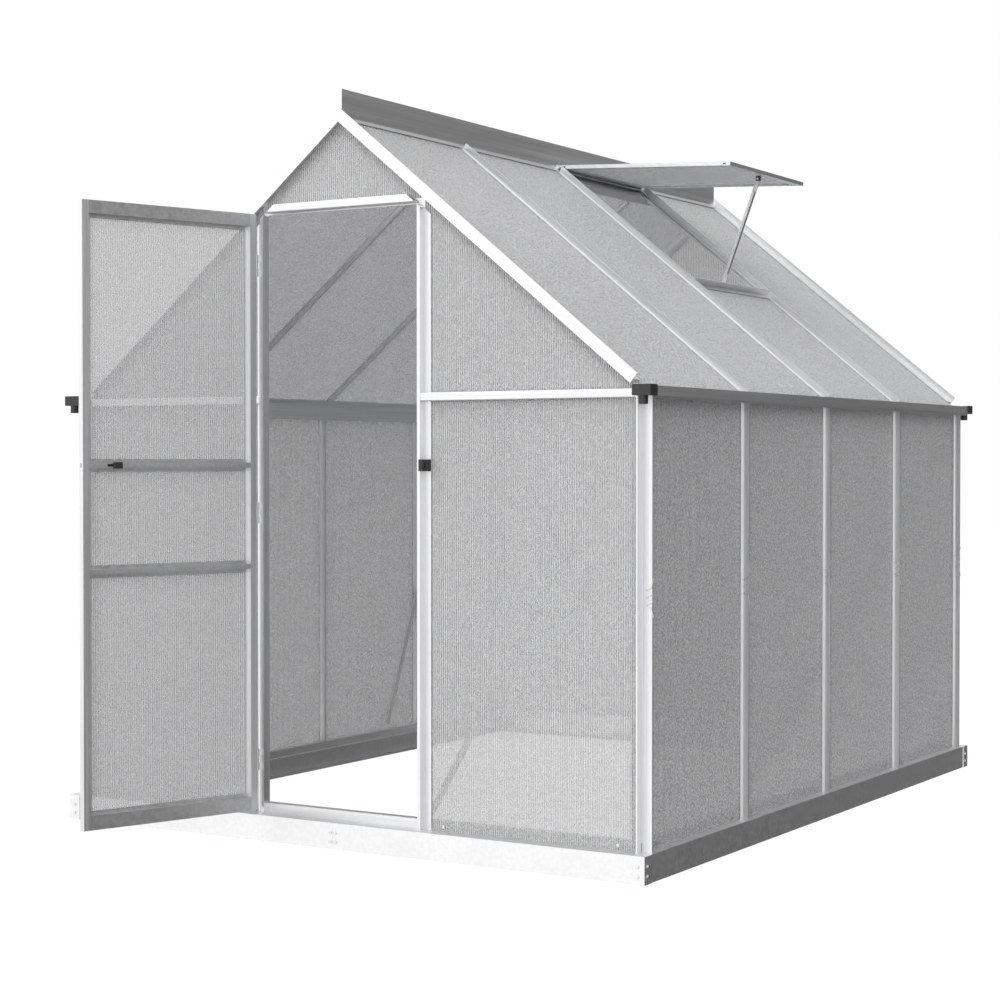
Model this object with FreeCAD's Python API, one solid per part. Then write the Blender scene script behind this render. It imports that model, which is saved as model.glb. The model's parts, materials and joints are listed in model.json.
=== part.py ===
"""Walk-in gable greenhouse: steel base, aluminium frame, twin-wall glazing, door and roof vent.

Frame of reference: origin at the centre of the footprint on the ground, +X to the right as
seen from the doorway, +Y from the doorway to the back, +Z up. Millimetres.
"""
import FreeCAD
import Part
import math
import os

V = FreeCAD.Vector

# ---------------------------------------------------------------- driving dimensions
length = 2500.0            # base, front face to rear face
width = 1967.0             # base, left face to right face
eaves_height = 1284.0      # top of the gutters
ridge_height = 2084.0      # where the rib planes of the two roof slopes meet
roof_run = 986.0           # plan distance over which one slope falls to eaves_height
bays = 4                   # glazing bays along each side

# base: folded steel channel
base_height = 74.0
base_wall = 2.0
base_top_flange = 70.0
base_foot_flange = 40.0
bracket_leg = 38.0
bracket_wall = 2.0
splice_plate_length = 36.0

# glazing sheet and the aluminium bar that grips its edges
sheet_wall = 4.0
bar_flange_width = 30.0
bar_flange_wall = 2.0
bar_nib_width = 8.0
bar_nib_depth = 16.0
bar_web = 4.0
bar_lip_reach = 12.0
bar_lip_wall = 1.6
bar_rib_height = 20.0
groove_clearance = 0.4     # between a sheet and the outer lip of its groove
edge_clearance = 3.0       # between a sheet's edge and the web of its groove
face_clearance = 0.3       # between a piece and the next one in line

# where the walls stand, measured in from the base's outer faces to the rib tips
side_rib_inset = 7.5
end_rib_inset = 30.0
corner_core = 30.0         # from the end wall's rib tip plane to the side rib of the corner post
corner_rib_setback = 5.0   # from the side sheets' inner face to the corner post's end-wall rib

sill_height = 26.0
sill_depth = 26.0

# gutters
gutter_height = 26.0
gutter_overhang = 12.5     # beyond the base's side face
gutter_wall = 2.0
gutter_inner_drop = 23.0   # inner wall below the gutter's floor
cap_length = 40.0
cap_side = 4.0
cap_rise = 3.0
spout_radius = 12.0
spout_bore = 9.0
spout_length = 22.0

# end walls and doorway
doorway_width = 530.0
jamb_width = 10.0
jamb_lip_reach = 24.0
jamb_bead = 6.0
header_bottom = 1801.0
rail_height = 24.0
mid_rail_bottom = 1254.0
rafter_face_depth = 33.0
rafter_plate = 3.0
rafter_hem = 30.0          # depth of the rafter's flange behind the gable glazing

# ridge
fin_wall = 6.0
fin_rise = 51.0
ridge_end_inset = 45.0
ridge_flange_reach = 38.0
ridge_seat_reach = 75.0
ridge_flange_wall = 2.0

# bracing
brace_width = 20.0
brace_wall = 3.0
left_brace_foot = 386.0    # the left wall's brace is steeper: its foot and head along Y
left_brace_head = 830.0

# door leaf
door_height = 1710.0
door_bottom = 86.0
door_wall = 22.0
door_free_overlap = 19.0   # past the doorway's edge on the bolt side
door_hinge_overlap = 7.0   # past it on the hinge side
door_stile_face = 20.0
door_stile_lip = 10.0
door_top_rail_height = 46.0
door_bottom_rail_height = 50.0
door_mid_rail_height = 34.0
door_upper_rail_z = 1061.0
door_lower_rail_z = 771.0
door_open_angle = 109.0
door_gap = 2.0             # between the closed leaf and the jambs
hinge_pin_radius = 3.0
hinge_running_clearance = 0.05
hinge_knuckle_radius = 6.0
hinge_length = 60.0
hinge_heights = (230.0, 940.0, 1650.0)
hinge_offset = 7.0         # from the hinge axis to the leaf's edge

# slide bolt
bolt_width = 12.0
bolt_wall = 4.0
bolt_travel = 22.0
bolt_clearance = 0.3
bolt_tip_setback = 1.0
grip_width = 27.0
grip_height = 18.0
grip_depth = 9.0
grip_from_edge = 118.0
keeper_height = 32.0
keeper_width = 13.0

# roof vent, in the third bay of the right slope
vent_bay = 2
vent_length = 621.0
vent_open_angle = 36.0
vent_frame_width = 25.0
vent_frame_depth = 12.0
vent_side_gap = 6.0
vent_hinge_radius = 4.0
vent_fin_gap = 2.9         # between the ridge fin and the vent's hinge tube
vent_sill_width = 40.0
vent_sill_upstand = 22.0   # weather bar below the closed vent's lower edge
vent_sill_gap = 6.0        # between that bar and the vent's edge
stay_length = 350.0
stay_width = 14.0
stay_wall = 3.0
stay_flange = 10.0         # the stay's second leg, which stops short of both ends
stay_flange_wall = 2.0
stay_flange_end = 42.0
stay_pin_radius = 3.0
stay_lean = 22.0
stay_hole_radius = 4.0
stay_hole_count = 5
stay_bracket_wall = 3.0
stay_bracket_gap = 1.0

# fasteners
bolt_head_radius = 5.0
bolt_head_height = 3.0
bolt_shank_radius = 2.5
bolt_hole_clearance = 0.25
clip_wire_radius = 1.2
clip_half_height = 50.0
clip_height = 735.0        # middle of each clip above the ground
screw_head_radius = 4.5
screw_head_height = 2.0
screw_radius = 2.0
screw_hole_clearance = 0.2
screw_rise = 12.0          # above the foot of the pane
screw_inset = 60.0         # in from the pane's edges

# ---------------------------------------------------------------- derived values
half_length = length / 2
half_width = width / 2
tan_pitch = (ridge_height - eaves_height) / roof_run
pitch = math.atan(tan_pitch)
sin_pitch = math.sin(pitch)
cos_pitch = math.cos(pitch)

groove = sheet_wall + groove_clearance
lip_outer = groove + bar_lip_wall
rib_tip = lip_outer + bar_rib_height

side_plane = half_width - side_rib_inset - rib_tip        # inner face of the side sheets
end_plane = half_length - end_rib_inset - rib_tip         # inner face of the end sheets
roof_plane = -rib_tip                                     # inner face of the roof sheets
corner_y = half_length - end_rib_inset - corner_core      # middle of the corner post's side rib
corner_x = side_plane - corner_rib_setback                 # middle of the corner post's end rib
bay_pitch = 2 * corner_y / bays
stud_places = [-corner_y + bay_pitch * i for i in range(1, bays)]

gutter_floor = eaves_height - gutter_height
gutter_outer = half_width + gutter_overhang
gutter_inner = side_plane - bar_nib_depth
gutter_end = half_length - cap_length
post_top = gutter_floor

jamb_inner = doorway_width / 2
jamb_outer = jamb_inner + jamb_width
sill_top = base_height + sill_height
rail_front = rib_tip - 1.0
rail_back = lip_outer + 0.2

os.makedirs("parts", exist_ok=True)
made = {}


# ---------------------------------------------------------------- helpers
def box(x0, x1, y0, y1, z0, z1):
    """Box between two corners."""
    return Part.makeBox(x1 - x0, y1 - y0, z1 - z0, V(x0, y0, z0))


def fused(shapes):
    """One clean solid from touching shapes."""
    joined = shapes[0]
    if len(shapes) > 1:
        joined = shapes[0].fuse(shapes[1:])
    return joined.removeSplitter()


def axes_at(origin, outward, along):
    """Placement whose local Y is outward and local Z is along."""
    across = outward.cross(along)
    matrix = FreeCAD.Matrix(
        across.x, outward.x, along.x, origin.x,
        across.y, outward.y, along.y, origin.y,
        across.z, outward.z, along.z, origin.z,
        0, 0, 0, 1)
    return FreeCAD.Placement(matrix)


def placed(shape, placement):
    """Copy of a shape drawn at the origin, put where the placement says."""
    moved = shape.copy()
    moved.Placement = placement.multiply(moved.Placement)
    return moved


def mirrored_x(shape):
    return shape.mirror(V(0, 0, 0), V(1, 0, 0))


def mirrored_y(shape):
    return shape.mirror(V(0, 0, 0), V(0, 1, 0))


def cylinder(radius, start, end):
    """Round bar between two points."""
    return Part.makeCylinder(radius, (end - start).Length, start, end - start)


def prism(points, normal_length):
    """Closed polygon swept along a vector."""
    wire = Part.makePolygon(points + [points[0]])
    return Part.Face(wire).extrude(normal_length)


def slope_point(s, n, y=0.0):
    """Point on the right slope: s down the slope from the ridge, n out of the rib plane."""
    x = s * cos_pitch + n * sin_pitch
    z = ridge_height - s * sin_pitch + n * cos_pitch
    return V(x, y, z)


def slope_box(s0, s1, n0, n1, y0, y1):
    """Box that lies along the right slope."""
    down = V(cos_pitch, 0, -sin_pitch)
    out = V(sin_pitch, 0, cos_pitch)
    block = box(0, y1 - y0, 0, n1 - n0, 0, s1 - s0)
    # local X is across: outward x along = (sin, 0, cos) x (cos, 0, -sin) = +Y
    return placed(block, axes_at(slope_point(s0, n0, y0), out, down))


def save(name, solids):
    """Write one node; a list becomes a group of separate solids."""
    shape = solids[0] if len(solids) == 1 else Part.makeCompound(solids)
    shape.exportStep("parts/" + name + ".step")
    made[name] = len(shape.Solids)


# ---------------------------------------------------------------- base
def base_channel(run):
    """Folded channel along +X, outer face at y=0, standing on z=0, open towards +Y."""
    return fused([
        box(0, run, 0, base_wall, 0, base_height),
        box(0, run, 0, base_top_flange, base_height - base_wall, base_height),
        box(0, run, 0, base_foot_flange, 0, base_wall)])


def mitre(x_sign):
    """Wedge that trims a front rail's end at 45 degrees."""
    reach = base_top_flange + 30
    corner = V(x_sign * half_width, -half_length, -1)
    points = [corner, corner + V(0, reach, 0), corner + V(-x_sign * reach, reach, 0)]
    return prism(points, V(0, 0, base_height + 2))


def base_hole(x, z, wall_face):
    """Bolt hole through an end wall, drilled along Y."""
    radius = bolt_shank_radius + bolt_hole_clearance
    return cylinder(radius, V(x, wall_face - 20, z), V(x, wall_face + 20, z))


def through_bolt(x, z, outer_face, grip):
    """Bolt along +Y: head outside the outer face, nut behind the gripped plates."""
    face = V(x, outer_face, z)
    head = cylinder(bolt_head_radius, face - V(0, bolt_head_height, 0), face)
    shank = cylinder(bolt_shank_radius, face, face + V(0, grip + bolt_head_height + 1, 0))
    nut = cylinder(bolt_head_radius, face + V(0, grip, 0), face + V(0, grip + bolt_head_height, 0))
    return fused([head, shank, nut])


bolt_rows = (0.28 * base_height, 0.62 * base_height)
splice_columns = (-splice_plate_length / 4, splice_plate_length / 4)
corner_bolt_x = half_width - bracket_leg / 2
corner_bolt_y = half_length - bracket_leg / 2


def front_base_half(sign):
    """Half of the front base rail, from the splice to a mitred corner."""
    rail = base_channel(half_width - face_clearance / 2)
    rail.translate(V(face_clearance / 2, -half_length, 0))
    rail = rail.cut(mitre(1))
    for z in bolt_rows:
        for column in splice_columns[1:]:
            rail = rail.cut(base_hole(column, z, -half_length))
        rail = rail.cut(base_hole(corner_bolt_x, z, -half_length))
    return rail if sign > 0 else mirrored_x(rail)


def side_base_rail():
    """Right-hand base rail, mitred at both ends."""
    rail = base_channel(length)
    rail.rotate(V(0, 0, 0), V(0, 0, 1), 90)
    rail.translate(V(half_width, -half_length, 0))
    reach = base_top_flange + 30
    corner = V(half_width, -half_length, -1)
    wedge = prism([corner, corner + V(-reach, 0, 0), corner + V(-reach, reach, 0)],
                  V(0, 0, base_height + 2))
    rail = rail.cut(wedge).cut(mirrored_y(wedge))
    radius = bolt_shank_radius + bolt_hole_clearance
    for z in bolt_rows:
        for y in (-corner_bolt_y, corner_bolt_y):
            rail = rail.cut(cylinder(radius, V(half_width - 20, y, z), V(half_width + 20, y, z)))
    return rail


def corner_bracket():
    """Angle plate round the outside of the front right corner."""
    outer_x = half_width + bracket_wall
    outer_y = -half_length - bracket_wall
    plate = fused([
        box(half_width - bracket_leg, outer_x, outer_y, -half_length, 0, base_height),
        box(half_width, outer_x, outer_y, bracket_leg - half_length, 0, base_height)])
    radius = bolt_shank_radius + bolt_hole_clearance
    for z in bolt_rows:
        plate = plate.cut(base_hole(corner_bolt_x, z, -half_length))
        plate = plate.cut(cylinder(radius, V(half_width - 20, -corner_bolt_y, z),
                                   V(half_width + 20, -corner_bolt_y, z)))
    return plate


def splice_plate():
    """Plate behind the joint in the front base rail."""
    inner = -half_length + base_wall
    plate = box(-splice_plate_length / 2, splice_plate_length / 2, inner, inner + base_wall,
                base_wall + 4, base_height - base_wall - 4)
    for z in bolt_rows:
        for column in splice_columns:
            plate = plate.cut(base_hole(column, z, inner))
    return plate


def base_bolts():
    """Every bolt that holds the base together."""
    bolts = []
    for z in bolt_rows:
        for column in splice_columns:
            bolts.append(through_bolt(column, z, -half_length, 2 * base_wall))
        for sign in (-1, 1):
            bolts.append(through_bolt(sign * corner_bolt_x, z, -half_length - bracket_wall,
                                      bracket_wall + base_wall))
    front = list(bolts)
    bolts += [mirrored_y(bolt) for bolt in front]
    side = []
    for z in bolt_rows:
        for y in (-corner_bolt_y, corner_bolt_y):
            bolt = through_bolt(0, z, 0, bracket_wall + base_wall)
            bolt.rotate(V(0, 0, 0), V(0, 0, 1), 90)
            bolt.translate(V(half_width + bracket_wall, y, 0))
            side.append(bolt)
    return bolts + side + [mirrored_x(bolt) for bolt in side]


front_halves = [front_base_half(-1), front_base_half(1)]
save("base_front_rails", front_halves)
save("base_rear_rails", [mirrored_y(half) for half in front_halves])
save("base_side_rails", [side_base_rail(), mirrored_x(side_base_rail())])
brackets = [corner_bracket(), mirrored_x(corner_bracket())]
save("base_corner_brackets", brackets + [mirrored_y(plate) for plate in brackets])
save("base_splice_plates", [splice_plate(), mirrored_y(splice_plate())])
save("base_bolts", base_bolts())


# ---------------------------------------------------------------- sills
def end_sill():
    """Rail behind the foot of the front glazing, which is also the doorway's threshold."""
    y1 = -end_plane + sill_depth
    reach = side_plane - sill_depth - face_clearance
    outer = box(-reach, reach, -end_plane, y1, base_height, sill_top)
    hollow = box(-reach - 1, reach + 1, -end_plane + bar_flange_wall, y1 - bar_flange_wall,
                 base_height + bar_flange_wall, sill_top - bar_flange_wall)
    return outer.cut(hollow)


def side_sill():
    """Rail behind the foot of the right-hand glazing."""
    x0 = side_plane - sill_depth
    reach = end_plane
    outer = box(x0, side_plane, -reach, reach, base_height, sill_top)
    hollow = box(x0 + bar_flange_wall, side_plane - bar_flange_wall, -reach - 1, reach + 1,
                 base_height + bar_flange_wall, sill_top - bar_flange_wall)
    return outer.cut(hollow)




# ---------------------------------------------------------------- posts and studs
def side_stud(y):
    """Glazing bar that stands between two sheets of the right-hand wall."""
    x = side_plane
    half_flange = bar_flange_width / 2
    half_nib = bar_nib_width / 2
    half_web = bar_web / 2
    return fused([
        box(x - bar_flange_wall, x, y - half_flange, y + half_flange, sill_top, post_top),
        box(x - bar_nib_depth, x - bar_flange_wall, y - half_nib, y + half_nib,
            sill_top, post_top),
        box(x, x + rib_tip, y - half_web, y + half_web, base_height, post_top),
        box(x + groove, x + lip_outer, y - bar_lip_reach, y + bar_lip_reach,
            base_height, post_top)])


def rear_stud(x):
    """Glazing bar between two sheets of the rear wall."""
    y = end_plane
    half_flange = bar_flange_width / 2
    half_nib = bar_nib_width / 2
    half_web = bar_web / 2
    top = ridge_height
    stud = fused([
        box(x - half_flange, x + half_flange, y - bar_flange_wall, y, sill_top, top),
        box(x - half_nib, x + half_nib, y - bar_nib_depth, y - bar_flange_wall, sill_top, top),
        box(x - half_web, x + half_web, y, y + rib_tip, base_height, top),
        box(x - bar_lip_reach, x + bar_lip_reach, y + groove, y + lip_outer,
            base_height, top)])
    stud = stud.cut(end_roof_trim(True))
    return stud


def end_roof_trim(rear):
    """Everything above the undersides of the end rafters, as one block to cut with."""
    inner_n = roof_plane - bar_flange_wall - rafter_hem
    face_n = -rafter_face_depth - face_clearance
    behind = roof_prism(inner_n - face_clearance, -half_length, -end_plane + 60)
    ahead = roof_prism(face_n, -half_length - 50, -end_plane)
    block = behind.fuse(ahead)
    return mirrored_y(block) if rear else block


def roof_prism(n, y0, y1):
    """Space above both slopes' planes at offset n, between two y values."""
    reach = half_width + 200
    apex = ridge_height + n / cos_pitch
    low = apex - reach * tan_pitch
    top = ridge_height + 600
    points = [V(-reach, y0, low), V(0, y0, apex), V(reach, y0, low),
              V(reach, y0, top), V(-reach, y0, top)]
    return prism(points, V(0, y1 - y0, 0))


save("wall_studs_right", [side_stud(y) for y in stud_places])
save("wall_studs_left", [mirrored_x(side_stud(y)) for y in stud_places])


def corner_post():
    """Front right corner extrusion, gripping the end sheet and the side sheet."""
    y_in = -end_plane
    x_in = side_plane
    half_web = bar_web / 2
    back = y_in + bar_flange_wall
    inner_x = corner_x - bar_flange_width
    upper = fused([
        box(inner_x, x_in, y_in, back, sill_top, post_top),
        box(x_in - bar_flange_wall, x_in, y_in, -corner_y + bar_flange_width + 5,
            sill_top, post_top)])
    ribs = fused([
        box(corner_x - half_web, corner_x + half_web, y_in - rib_tip, y_in, base_height,
            post_top),
        box(corner_x - bar_lip_reach, corner_x, y_in - lip_outer, y_in - groove,
            base_height, post_top),
        box(x_in, x_in + rib_tip, -corner_y - half_web, -corner_y + half_web, base_height,
            post_top),
        box(x_in + groove, x_in + lip_outer, -corner_y, -corner_y + bar_lip_reach,
            base_height, post_top)])
    core = box(corner_x - half_web, x_in + 1, y_in - half_web, -corner_y + half_web,
               sill_top, post_top)
    return fused([upper, ribs, core])


post = corner_post()
front_posts = [post, mirrored_x(post)]
save("corner_posts_front", front_posts)
save("corner_posts_rear", [mirrored_y(shape) for shape in front_posts])


# ---------------------------------------------------------------- gutters and their caps
def gutter():
    """Right-hand eaves beam with a rain trough and a seat for the roof bars."""
    y0 = -gutter_end
    y1 = gutter_end
    wall_start = corner_y - bar_lip_reach
    seat_n = roof_plane - bar_flange_wall
    seat = slope_box(seat_s0, seat_s1, seat_n - gutter_wall, seat_n, -wall_start, wall_start)
    wall_top = slope_point(seat_s0, seat_n - gutter_wall / 2).z
    wall_top -= (gutter_inner - slope_point(seat_s0, seat_n).x) * tan_pitch
    trough = fused([
        box(gutter_inner - gutter_wall, gutter_outer, -wall_start, wall_start, gutter_floor,
            gutter_floor + gutter_wall),
        box(cap_inner, gutter_outer, y0, y1, gutter_floor, gutter_floor + gutter_wall),
        box(gutter_outer - gutter_wall, gutter_outer, y0, y1, gutter_floor, eaves_height),
        box(gutter_outer - 3 * gutter_wall, gutter_outer - 2 * gutter_wall, y0, y1,
            gutter_floor - 3 * gutter_wall, gutter_floor)])
    wall = box(gutter_inner - gutter_wall, gutter_inner, -wall_start, wall_start,
               gutter_floor - gutter_inner_drop, wall_top)
    return fused([trough, wall, seat])


seat_s0 = (gutter_inner - 16) / cos_pitch + rib_tip * tan_pitch
seat_s1 = seat_s0 + 30
cap_inner = side_plane - 2.0
save("gutter_right", [gutter()])
save("gutter_left", [mirrored_x(gutter())])


def gutter_cap():
    """Moulded end cap of the right gutter's front end, with its outlet spout."""
    x0 = cap_inner - 2
    x1 = gutter_outer + cap_side
    y0 = -half_length
    y1 = -gutter_end
    z0 = gutter_floor
    wall = 3.0
    shell = box(x0, x1, y0, y1, z0, eaves_height + cap_rise)
    shell = shell.cut(box(x0 + wall, x1 - wall, y0 + wall, y1 + 1, z0 + wall,
                          eaves_height + cap_rise + 1))
    spout_x = (x0 + x1) / 2
    spout_y = y0 + spout_radius + 1
    spout = cylinder(spout_radius, V(spout_x, spout_y, z0 - spout_length),
                     V(spout_x, spout_y, z0))
    bore = cylinder(spout_bore, V(spout_x, spout_y, z0 - spout_length - 1),
                    V(spout_x, spout_y, z0 + wall + 1))
    return fused([shell, spout]).cut(bore)


caps = [gutter_cap(), mirrored_x(gutter_cap())]
save("gutter_end_caps", caps + [mirrored_y(cap) for cap in caps])


# ---------------------------------------------------------------- doorway and end rails
def jamb():
    """Right-hand door jamb: a square bar with a lip over the sheet beside it."""
    y = -end_plane
    top = ridge_height
    bead_x = jamb_outer + jamb_lip_reach
    flange = box(jamb_inner, bead_x, y, y + bar_flange_wall, sill_top, top)
    front = fused([
        box(jamb_inner, jamb_outer, y - rib_tip, y, base_height, top),
        box(jamb_outer, bead_x, y - lip_outer, y - groove, base_height, top),
        box(bead_x - jamb_bead, bead_x, y - lip_outer - bar_lip_wall, y - lip_outer,
            base_height, top)])
    return fused([flange, front]).cut(end_roof_trim(False))


def cross_rail(x0, x1, z0, flange_x0, flange_x1):
    """Rail across the end wall, in front of the sheets, with a flange behind them."""
    y = -end_plane
    z1 = z0 + rail_height
    middle = (z0 + z1) / 2
    face = box(x0, x1, y - rail_front, y - rail_back, z0, z1)
    face = face.makeFillet(4.0, [e for e in face.Edges if is_front_long_edge(e, y - rail_front)])
    web = box(x0, x1, y - rail_back, y, middle - 1, middle + 1)
    back = box(flange_x0, flange_x1, y, y + bar_flange_wall, z0 - 4, z1 + 4)
    return fused([face, web, back])


def is_front_long_edge(edge, y):
    """True for an edge along X on the face at y."""
    ends = edge.Vertexes
    on_face = all(abs(v.Point.y - y) < 1e-6 for v in ends)
    return on_face and abs(ends[0].Point.x - ends[-1].Point.x) > rail_height * 2


right_jamb = jamb()
save("door_jamb_right", [right_jamb])
save("door_jamb_left", [mirrored_x(right_jamb)])

post_rib_face = corner_x - bar_web / 2
mid_rail = cross_rail(jamb_outer + face_clearance, post_rib_face - face_clearance,
                      mid_rail_bottom, jamb_outer + jamb_lip_reach + face_clearance,
                      post_rib_face - 55)
lip_gap = box(jamb_outer - 1, jamb_outer + jamb_lip_reach + face_clearance,
              -end_plane - lip_outer - bar_lip_wall - face_clearance, -end_plane - groove,
              mid_rail_bottom - 1, mid_rail_bottom + rail_height + 1)
mid_rail = mid_rail.cut(lip_gap)
save("front_mid_rails", [mid_rail, mirrored_x(mid_rail)])
header = cross_rail(-jamb_inner, jamb_inner, header_bottom, -jamb_inner + face_clearance,
                    jamb_inner - face_clearance)
save("door_header", [header.cut(end_roof_trim(False))])

stud_x = jamb_outer
rear_rail = cross_rail(stud_x + bar_web / 2 + face_clearance, post_rib_face - face_clearance,
                       mid_rail_bottom, stud_x + bar_flange_width / 2 + face_clearance,
                       post_rib_face - 55)
rear_rail = rear_rail.cut(box(stud_x, stud_x + bar_lip_reach + face_clearance,
                              -end_plane - lip_outer - face_clearance, -end_plane - groove,
                              mid_rail_bottom - 1, mid_rail_bottom + rail_height + 1))
rear_middle = cross_rail(-stud_x + bar_web / 2 + face_clearance,
                         stud_x - bar_web / 2 - face_clearance, mid_rail_bottom,
                         -stud_x + bar_flange_width / 2 + face_clearance,
                         stud_x - bar_flange_width / 2 - face_clearance)
for side in (-1, 1):
    edge = side * (stud_x - bar_lip_reach / 2)
    reach = bar_lip_reach / 2 + face_clearance
    rear_middle = rear_middle.cut(box(edge - reach, edge + reach,
                                      -end_plane - lip_outer - face_clearance,
                                      -end_plane - groove, mid_rail_bottom - 1,
                                      mid_rail_bottom + rail_height + 1))
rear_rails = [rear_rail, mirrored_x(rear_rail), rear_middle]
save("rear_mid_rails", [mirrored_y(rail) for rail in rear_rails])
save("rear_studs", [rear_stud(stud_x), rear_stud(-stud_x)])


# ---------------------------------------------------------------- gable rafters
rafter_s1 = (corner_x + 1.0) / cos_pitch


def rafter():
    """Front right rafter: a face plate, a core between the panes and a flange behind each."""
    y = -end_plane
    y_face = y - rib_tip
    flange_n = roof_plane - bar_flange_wall
    outer_n = roof_plane + lip_outer
    parts = [
        slope_box(0, rafter_s1, -rafter_face_depth, 0, y_face, y_face + rafter_plate),
        slope_box(0, rafter_s1, flange_n, outer_n, y_face + rafter_plate, -corner_y),
        slope_box(0, rafter_s1, outer_n - bar_lip_wall, outer_n, -corner_y,
                  -corner_y + bar_lip_reach),
        slope_box(0, rafter_s1, flange_n, roof_plane, -corner_y,
                  -corner_y + bar_flange_width),
        slope_box(0, rafter_s1, flange_n - rafter_hem, flange_n, y, y + bar_flange_wall)]
    whole = fused(parts)
    whole = whole.cut(box(-200, 0.15, y_face - 1, y_face + rafter_plate, 0, ridge_height + 90))
    half_fin = fin_wall / 2 + face_clearance
    whole = whole.cut(box(-200, half_fin, y_face + rafter_plate, 0, 0, ridge_height + 90))
    return whole


rafter_right = rafter()
rafters = [rafter_right, mirrored_x(rafter_right)]
save("rafters_front", rafters)
save("rafters_rear", [mirrored_y(shape) for shape in rafters])


# ---------------------------------------------------------------- ridge
def ridge():
    """Ridge beam: a tall fin with a rain flange and a seat on each side."""
    top = ridge_height + fin_rise
    y1 = half_length - ridge_end_inset
    half_fin = fin_wall / 2
    rain_n = roof_plane + lip_outer
    seat_n = roof_plane - bar_flange_wall
    seat_y = corner_y - bar_flange_width - 5
    shoulder = ridge_height + rain_n / cos_pitch - 2 * ridge_flange_wall
    fin = box(-half_fin, half_fin, -y1, y1, shoulder, top)
    stem = box(-half_fin, half_fin, -seat_y, seat_y, shoulder - 25, shoulder)
    rain = slope_box(0, ridge_flange_reach, rain_n, rain_n + ridge_flange_wall, -y1, y1)
    seat = slope_box(0, ridge_seat_reach, seat_n - ridge_flange_wall, seat_n, -seat_y, seat_y)
    keep_right = box(0, 300, -length, length, 0, ridge_height + 500)
    rain = rain.common(keep_right)
    seat = seat.common(keep_right)
    return fused([fin, stem, rain, seat, mirrored_x(rain), mirrored_x(seat)])


save("ridge_beam", [ridge()])


# ---------------------------------------------------------------- roof bars
def roof_bar(y):
    """Glazing bar down the right slope, from the ridge seat to the gutter."""
    half_flange = bar_flange_width / 2
    half_nib = bar_nib_width / 2
    half_web = bar_web / 2
    n = roof_plane
    s_top = 32.0
    bar = fused([
        slope_box(s_top, seat_s1 - 2, n - bar_flange_wall, n, y - half_flange, y + half_flange),
        slope_box(ridge_seat_reach + 5, seat_s0 - 8, n - bar_nib_depth + 4,
                  n - bar_flange_wall, y - half_nib, y + half_nib),
        slope_box(s_top, roof_bar_s1, n, n + lip_outer, y - half_web, y + half_web),
        slope_box(s_top, roof_bar_s1, n + groove, n + lip_outer, y - bar_lip_reach,
                  y + bar_lip_reach),
        slope_box(ridge_flange_reach + 3, roof_bar_s1, n + lip_outer, n + rib_tip,
                  y - half_web, y + half_web)])
    return bar


roof_bar_s1 = (gutter_outer - 20) / cos_pitch
save("roof_bars_right", [roof_bar(y) for y in stud_places])
save("roof_bars_left", [mirrored_x(roof_bar(y)) for y in stud_places])


# ---------------------------------------------------------------- bracing
def brace(x0, z0, x1, z1):
    """Flat diagonal bar in the XZ plane, lying from y=0 to its wall towards +Y."""
    run = math.hypot(x1 - x0, z1 - z0)
    bar = box(0, run, 0, brace_wall, -brace_width / 2, brace_width / 2)
    bar.rotate(V(0, 0, 0), V(0, 1, 0), -math.degrees(math.atan2(z1 - z0, x1 - x0)))
    bar.translate(V(x0, 0, z0))
    return bar


def end_brace():
    """Brace behind the front right pane, from the jamb's foot to the corner post's head."""
    foot_x = jamb_outer + jamb_lip_reach * 0.75
    head_x = post_rib_face - bar_flange_width / 2
    bar = brace(foot_x, sill_top + brace_width, head_x, mid_rail_bottom - brace_width * 2)
    bar.translate(V(0, -end_plane + bar_flange_wall, 0))
    return bar


def side_brace(foot_y, head_y):
    """Brace inside the right wall, from the sill to just below the gutter."""
    bar = brace(foot_y, sill_top + brace_width, head_y,
                gutter_floor - gutter_inner_drop - 2 * brace_width)
    bar.rotate(V(0, 0, 0), V(0, 0, 1), 90)
    bar.translate(V(side_plane - bar_nib_depth, 0, 0))
    return bar


ends = [end_brace(), mirrored_x(end_brace())]
save("wall_braces", ends + [mirrored_y(bar) for bar in ends]
     + [side_brace(stud_places[0], corner_y - bar_flange_width / 2),
        mirrored_x(side_brace(left_brace_foot, left_brace_head))])


# ---------------------------------------------------------------- fixed glazing
sheet_edge = bar_web / 2 + edge_clearance
bay_edges = [-corner_y + bay_pitch * i for i in range(bays + 1)]
mid_web_z = mid_rail_bottom + rail_height / 2
sheet_under_rafter = roof_plane - bar_flange_wall - face_clearance * 3


def side_sheet(bay):
    """Pane in one bay of the right wall."""
    return box(side_plane, side_plane + sheet_wall, bay_edges[bay] + sheet_edge,
               bay_edges[bay + 1] - sheet_edge, base_height, gutter_floor - edge_clearance)


def end_sheet(x0, x1, z0, z1):
    """Pane in the front wall, trimmed under the rafters."""
    pane = box(x0, x1, -end_plane - sheet_wall, -end_plane, z0, z1)
    return pane.cut(roof_prism(sheet_under_rafter, -half_length, 0))


def roof_sheet(bay, s0):
    """Pane in one bay of the right slope, from s0 to the gutter."""
    return slope_box(s0, roof_bar_s1 - edge_clearance, roof_plane, roof_plane + sheet_wall,
                     bay_edges[bay] + sheet_edge, bay_edges[bay + 1] - sheet_edge)


roof_sheet_s0 = 32.0
vent_sill_s0 = 634.0
vent_web_s = vent_sill_s0 + 15
sill_web = 2.0

panes = [side_sheet(bay) for bay in range(bays)]

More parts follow.
